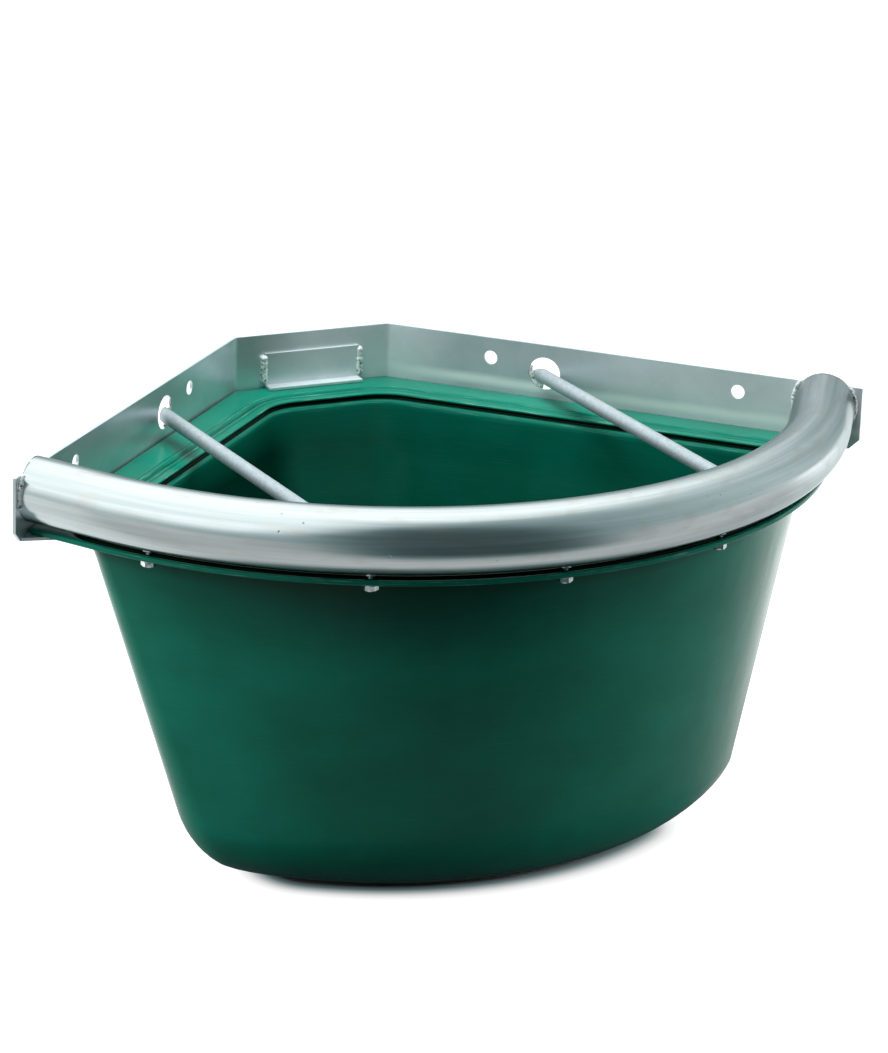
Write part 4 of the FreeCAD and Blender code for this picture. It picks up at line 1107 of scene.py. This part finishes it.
CAMERA_PLACE = (1.4065, -3.8292, 1.7023)
CAMERA_TURN = math.radians(20.36)
CAMERA_DROP = math.radians(18.84)
CAMERA_ROLL = math.radians(1.85)
SENSOR_HEIGHT = 36
FOCAL_PIXELS = 4629.3
PHOTO_HEIGHT = 1053
CAMERA_LENS = SENSOR_HEIGHT * FOCAL_PIXELS / PHOTO_HEIGHT
LAMP_TARGET = (0, 0, 0.25)
LAMPS = (
    # setting that holds its power, place, width and height
    ("overhead", (-0.1, 0.05, 2.1), (1.6, 1.4)),
    ("left", (-1.75, -1.2, 0.9), (1.2, 1.2)),
    ("right", (1.95, 0.85, 0.5), (1.2, 0.5)),
)


def camera_matrix():
    """The camera's place and turn, from its heading, its downward angle and its roll."""
    heading = Matrix.Rotation(CAMERA_TURN, 4, "Z")
    drop = Matrix.Rotation(math.pi / 2 - CAMERA_DROP, 4, "X")
    roll = Matrix.Rotation(CAMERA_ROLL, 4, "Z")
    return Matrix.Translation(CAMERA_PLACE) @ heading @ drop @ roll


def add_lamp(name, place, size, power):
    """Soft lamp that gloss doesn't show, because the room's own light does that."""
    lamp = bpy.data.lights.new(name, "AREA")
    lamp.shape = "RECTANGLE"
    lamp.size, lamp.size_y = size
    lamp.energy = power
    holder = new_object(name, lamp)
    holder.visible_glossy = False
    holder.visible_camera = False
    aim = (Vector(LAMP_TARGET) - Vector(place)).to_track_quat("-Z", "Y")
    holder.matrix_world = Matrix.Translation(place) @ aim.to_matrix().to_4x4()


def room_way(right, front, up):
    """Direction in the row's frame from parts to the camera's right, towards it and up."""
    return (right * math.cos(CAMERA_TURN) + front * math.sin(CAMERA_TURN),
            right * math.sin(CAMERA_TURN) - front * math.cos(CAMERA_TURN), up)


# Brightness of the room's walls, from across the room at 0 to the middle of the dark part at 1
ROOM_STOPS = ((0.0, 0.68), (0.35, 0.54), (0.62, 0.46), (0.79, 0.4), (0.87, 0.24), (0.93, 0.13),
              (1.0, 0.09))
DARK_PART = room_way(math.sin(math.radians(22)), math.cos(math.radians(22)), 0.0)
LEFT_BOX = room_way(-1.6, 0.0, 1.0)
BACK_BOX = room_way(-0.6, -0.7, 1.3)
BOX_LEVEL = 1.45


def wall_tone(tree, direction):
    """Brightness of the room's walls in a direction."""
    level = add(tree, "ShaderNodeVectorMath", {0: direction, 1: (1.0, 1.0, 0.3)},
                operation="MULTIPLY")
    evened = add(tree, "ShaderNodeVectorMath", {0: level}, operation="NORMALIZE")
    towards = add(tree, "ShaderNodeVectorMath", {0: evened, 1: DARK_PART},
                  operation="DOT_PRODUCT").outputs["Value"]
    tone = add(tree, "ShaderNodeValToRGB", {0: towards})
    set_stops(tone.color_ramp, ROOM_STOPS)
    return tone


def room_light(world, fill, shade):
    """White for the camera. Other rays see a grey room with two softboxes.

    One softbox is high on the left and one is overhead towards the back. The room is dark
    beside the camera, to its right, and the dark part has the colour of shade.
    """
    world.use_nodes = True
    tree = world.node_tree
    tree.nodes.clear()
    path = add(tree, "ShaderNodeLightPath").outputs
    heading = add(tree, "ShaderNodeTexCoord").outputs["Generated"]
    height = add(tree, "ShaderNodeSeparateXYZ", {0: heading}).outputs["Z"]
    tone = wall_tone(tree, heading)
    left = add(tree, "ShaderNodeVectorMath", {0: heading, 1: LEFT_BOX},
               operation="DOT_PRODUCT").outputs["Value"]
    left_share = add(tree, "ShaderNodeMapRange", {0: left, 1: 0.75, 2: 1.15})
    above = add(tree, "ShaderNodeMapRange", {0: height, 1: 0.1, 2: 0.4})
    left_box = add(tree, "ShaderNodeMath", {0: left_share, 1: above}, operation="MULTIPLY")
    back = add(tree, "ShaderNodeVectorMath", {0: heading, 1: BACK_BOX},
               operation="DOT_PRODUCT").outputs["Value"]
    back_box = add(tree, "ShaderNodeMapRange", {0: back, 1: 0.95, 2: 1.3})
    box = add(tree, "ShaderNodeMath", {0: left_box, 1: back_box}, operation="MAXIMUM")
    tint = add(tree, "ShaderNodeMix", {
        "Factor": tone, "A": full_bright(shade),
        "B": WHITE}, data_type="RGBA")
    wall = add(tree, "ShaderNodeVectorMath", {0: tint, 1: tone}, operation="MULTIPLY")
    room = add(tree, "ShaderNodeMix", {"Factor": box, "A": wall,
                                       "B": opaque([BOX_LEVEL] * 3)}, data_type="RGBA")
    mirrored = add(tree, "ShaderNodeMath", {0: path["Is Glossy Ray"],
                                            1: path["Is Transmission Ray"]}, operation="MAXIMUM")
    share = add(tree, "ShaderNodeMix", {"Factor": mirrored, "A": fill, "B": 1.0})
    lit = add(tree, "ShaderNodeVectorMath", {0: room, "Scale": share}, operation="SCALE")
    seen = add(tree, "ShaderNodeMix", {"Factor": path["Is Camera Ray"], "A": lit,
                                       "B": WHITE}, data_type="RGBA")
    sky = add(tree, "ShaderNodeBackground", {"Color": seen, "Strength": 1.0})
    add(tree, "ShaderNodeOutputWorld", {"Surface": sky})


FLOOR_STEPS = (
    # distance out from the foot in mm, clear (end of the painted shadow ring for the camera), open
    # (end of painted shade for gloss and bounce)
    (0, 0.0, 0.0), (27, 0.0, 0.03), (35, 0.1, 0.05), (43, 0.4, 0.07), (51, 0.74, 0.1),
    (60, 0.94, 0.14), (72, 1.0, 0.18), (90, 1.0, 0.25), (130, 1.0, 0.5), (180, 1.0, 0.85),
    (230, 1.0, 1.0),
)


def floor_mesh(half):
    """Floor in rings round the bowl's foot.

    "clear" rises from the foot to where the camera sees no shade; inside that ring the camera
    sees a grey floor that takes the manger's shade, so the shadow's reach is painted. "open"
    rises further out, to where the floor shows its full brightness to the bowl and in gloss;
    nearer the foot it is dimmed as painted shade.
    """
    foot = plan(**{**BASE, "side": BASE["side"] + BASE_ROUND, "cut": BASE["cut"] + BASE_ROUND,
                   "radius": BASE["radius"] - BASE_ROUND, "corner": LEAST_CORNER,
                   "rear": LEAST_CORNER})
    rings = [[point + facing * step[0] * MM for point, facing in foot] for step in FLOOR_STEPS]
    middle = sum((point for point in rings[0]), Vector((0, 0))) / len(foot)
    for size in (0.5, 1.1, half):
        rings.append([middle + (point - middle).normalized() * size for point, facing in foot])
    count = len(foot)
    marks = [(0.0, 0.0)] + [step[1:] for step in FLOOR_STEPS for _ in foot]
    marks += [(1.0, 1.0)] * 3 * count
    points = [(*middle, 0)] + [(*point, 0) for ring in rings for point in ring]
    faces = [(0, 1 + (n + 1) % count, 1 + n) for n in range(count)]
    for row in range(len(rings) - 1):
        low = 1 + row * count
        faces += [(low + n, low + (n + 1) % count, low + count + (n + 1) % count, low + count + n)
                  for n in range(count)]
    mesh = mesh_of("floor", points, faces)
    mesh.transform(Matrix.Translation((-HALF_SPAN, HALF_SPAN, 0)))
    for number, label in enumerate(("clear", "open")):
        layer = mesh.attributes.new(label, "FLOAT", "POINT")
        layer.data.foreach_set("value", [mark[number] for mark in marks])
    return mesh


def floor_material(shade):
    """Pale matt floor. The camera sees it white except in a ring round the foot, where it is grey
    and takes the manger's shade: a partly painted shadow.

    Gloss sees it white behind the manger, pale near it and like the room's walls further in
    front, and its dim parts have the colour of shade. Light that it throws back is weaker in
    front of the manger than behind it.
    """
    material = bpy.data.materials.new("pale_matt_floor")
    material.use_nodes = True
    tree = material.node_tree
    tree.nodes.clear()
    path = add(tree, "ShaderNodeLightPath").outputs
    clear = add(tree, "ShaderNodeAttribute", attribute_name="clear").outputs["Fac"]
    opened = add(tree, "ShaderNodeAttribute", attribute_name="open").outputs["Fac"]
    place = add(tree, "ShaderNodeTexCoord").outputs["Object"]
    ahead = add(tree, "ShaderNodeVectorMath", {0: place, 1: DARK_PART},
                operation="DOT_PRODUCT").outputs["Value"]
    thrown = add(tree, "ShaderNodeMapRange", {0: ahead, 1: 0.0, 2: 0.5, 3: 0.5, 4: 0.1})
    # Painted shade: near the foot the floor throws back less light and shows dimmer in gloss
    bounce = add(tree, "ShaderNodeMath", {0: thrown, 1: opened}, operation="MULTIPLY")
    # Grey for the camera, shown only inside the painted shadow ring round the foot
    paint = add(tree, "ShaderNodeMix", {"Factor": path["Is Camera Ray"], "A": bounce, "B": 0.42})
    kept = add(tree, "ShaderNodeMath", {0: 1.0, 1: path["Is Glossy Ray"]}, operation="SUBTRACT")
    matt_paint = add(tree, "ShaderNodeMath", {0: paint, 1: kept}, operation="MULTIPLY")
    matt = add(tree, "ShaderNodeBsdfDiffuse", {"Color": matt_paint})
    near = add(tree, "ShaderNodeMapRange", {0: ahead, 1: 0.4, 2: 0.75, 3: 1.0, 4: 0.0})
    far = add(tree, "ShaderNodeMapRange", {0: wall_tone(tree, place), 1: 0.1, 2: 0.7, 3: 0.08,
                                           4: 0.85})
    close = add(tree, "ShaderNodeMapRange", {0: ahead, 1: -0.45, 2: 0.1, 3: 1.6, 4: 0.58})
    mirrored = add(tree, "ShaderNodeMix", {"Factor": near, "A": far, "B": close})
    in_gloss = add(tree, "ShaderNodeMath", {0: opened, 1: path["Is Glossy Ray"]},
                   operation="MULTIPLY")
    shown = add(tree, "ShaderNodeMath", {0: mirrored, 1: in_gloss}, operation="MULTIPLY")
    direct = add(tree, "ShaderNodeMath", {0: clear, 1: path["Is Camera Ray"]},
                 operation="MULTIPLY")
    level = add(tree, "ShaderNodeMath", {0: direct, 1: shown}, operation="MAXIMUM")
    paleness = add(tree, "ShaderNodeMapRange", {0: level, 1: 0.1, 2: 0.5})
    tint = add(tree, "ShaderNodeMix", {
        "Factor": paleness, "A": full_bright(shade),
        "B": WHITE}, data_type="RGBA")
    glow = add(tree, "ShaderNodeEmission", {"Color": tint, "Strength": level})
    both = add(tree, "ShaderNodeAddShader", {0: matt, 1: glow})
    add(tree, "ShaderNodeOutputMaterial", {"Surface": both})
    return material


class MangerPiece:
    """What all the manger's operators share."""

    bl_options = {"REGISTER", "UNDO"}

    def execute(self, context):
        self.build(context.scene)
        return {"FINISHED"}


class MANGER_OT_stage(MangerPiece, bpy.types.Operator):
    """Make the floor, the lamps, the white room and the camera"""

    bl_idname = "manger.stage"
    bl_label = "Stage"

    def build(self, scene):
        settings = scene.manger_stage
        floor = new_object("floor", floor_mesh(settings.floor))
        floor.data.materials.append(floor_material(settings.shade))
        for name, place, size in LAMPS:
            add_lamp(name + "_lamp", place, size, getattr(settings, name))
        world = bpy.data.worlds.new("white_room")
        scene.world = world
        room_light(world, settings.fill, settings.shade)
        lens = bpy.data.cameras.new("camera")
        lens.sensor_fit = "VERTICAL"
        lens.sensor_height = SENSOR_HEIGHT
        lens.lens = CAMERA_LENS
        camera = new_object("camera", lens)
        camera.matrix_world = camera_matrix()
        scene.camera = camera
        scene.view_settings.view_transform = "Standard"


class MANGER_OT_bowl(MangerPiece, bpy.types.Operator):
    """Make the moulded bowl with its grooved rim"""

    bl_idname = "manger.bowl"
    bl_label = "Bowl"

    def build(self, scene):
        settings = scene.manger_bowl
        hand_over("bowl", bowl_mesh(), ["feed_bowl"],
                  polyethylene(settings.green, settings.deep, settings.scuff, settings.painted_shade_green))


class MANGER_OT_sheet_metal(MangerPiece, bpy.types.Operator):
    """Make the wall frame and the hold-down clip"""

    bl_idname = "manger.sheet_metal"
    bl_label = "Frame and clip"

    def build(self, scene):
        settings = scene.manger_steel
        material = galvanised_sheet(settings.sheet, settings.sheet_dull, settings.pale_line_colour)
        for node, name in (("wall_frame", "folded_frame"), ("hold_down_clip", "folded_clip")):
            mesh = softened_copy(node, name, settings.edge)
            hand_over(name, mesh, [node], material, shifted=False)


class MANGER_OT_rods(MangerPiece, bpy.types.Operator):
    """Make the front tube and the two bars"""

    bl_idname = "manger.rods"
    bl_label = "Tube and bars"

    def build(self, scene):
        settings = scene.manger_steel
        tree = rod_tree()
        zinc = galvanised_tube(settings.tube, settings.tube_dull, settings.stain,
                               settings.pit)
        mesh = tube_mesh(tree, zinc, settings.tube_dents)
        hand_over("curved_tube", mesh, ["front_tube"], zinc)
        dull = galvanised_rod(settings.rod, settings.rod_dull)
        for side in SIDES:
            mesh = bar_mesh(side, tree, dull, settings.bar_dents)
            hand_over(f"{side}_round_bar", mesh, [f"{side}_bar"], dull)


class MANGER_OT_welds(MangerPiece, bpy.types.Operator):
    """Make the weld beads"""

    bl_idname = "manger.welds"
    bl_label = "Welds"

    def build(self, scene):
        settings = scene.manger_steel
        tree = bead_tree()
        zinc = zinc_weld(settings.weld, settings.slag)
        size = settings.bead
        beads = []
        for side in SIDES:
            for half in ("front", "rear"):
                beads.append((f"{side}_tube_weld_{half}", end_weld_line(side, half), size * 0.75))
            beads.append((f"{side}_bar_weld", bar_weld_line(side), size))
            beads.append((f"{side}_bar_tack", bar_tack_line(side), size * 0.52))
            beads.append((f"{side}_clip_weld", clip_weld_line(side), size * 1.3))
        for seed, (node, line, thick) in enumerate(beads):
            name = node + "_bead"
            mesh = bead_mesh(tree, name, line, thick, seed, zinc)
            hand_over(name, mesh, [node], zinc)


class MANGER_OT_fasteners(MangerPiece, bpy.types.Operator):
    """Make the rim's bolts, washers and rivet nuts"""

    bl_idname = "manger.fasteners"
    bl_label = "Fasteners"

    def build(self, scene):
        settings = scene.manger_steel
        plating = zinc_plate(settings.plate, settings.plate_dull)
        tree = fastener_tree()
        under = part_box("rim_washer_1")[0].z
        kinds = (("rim_bolt", bolt_template(), under, 3),
                 ("rim_washer", washer_template(), under, 5),
                 ("tube_nut", nut_template(), TUBE_FOOT, 7))
        for kind, template, height, seed in kinds:
            shape = new_object(kind + "_template", template)
            mesh = run_tree(tree, fastener_places(kind, height), kind + "s", {
                "Fastener": shape, "Seed": seed, "Material": plating})
            bpy.data.objects.remove(shape)
            nodes = [f"{kind}_{number}" for number in BOLTS]
            hand_over(kind + "s", mesh, nodes, plating, shifted=False)


PIECES = (MANGER_OT_stage, MANGER_OT_bowl, MANGER_OT_sheet_metal, MANGER_OT_rods,
          MANGER_OT_welds, MANGER_OT_fasteners)
SETTINGS = {
    "manger_stage": MangerStageSettings,
    "manger_bowl": MangerBowlSettings,
    "manger_steel": MangerSteelSettings,
}


class MANGER_PT_sidebar(bpy.types.Panel):
    """Lists the settings and makes each piece"""

    bl_label = "Corner feed manger"
    bl_space_type = "VIEW_3D"
    bl_region_type = "UI"
    bl_category = "Manger"

    def draw(self, context):
        for name, kind in SETTINGS.items():
            box = self.layout.box()
            for value in kind.__annotations__:
                box.prop(getattr(context.scene, name), value)
        for piece in PIECES:
            self.layout.operator(piece.bl_idname)


def register():
    for kind in (*SETTINGS.values(), *PIECES, MANGER_PT_sidebar):
        bpy.utils.register_class(kind)
    for name, kind in SETTINGS.items():
        setattr(bpy.types.Scene, name, bpy.props.PointerProperty(type=kind))


def unregister():
    for name in SETTINGS:
        delattr(bpy.types.Scene, name)
    for kind in reversed((*SETTINGS.values(), *PIECES, MANGER_PT_sidebar)):
        bpy.utils.unregister_class(kind)


def main():
    register()
    for name in ("stage", "bowl", "sheet_metal", "rods", "welds", "fasteners"):
        getattr(bpy.ops.manger, name)()


if __name__ == "__main__":
    main()
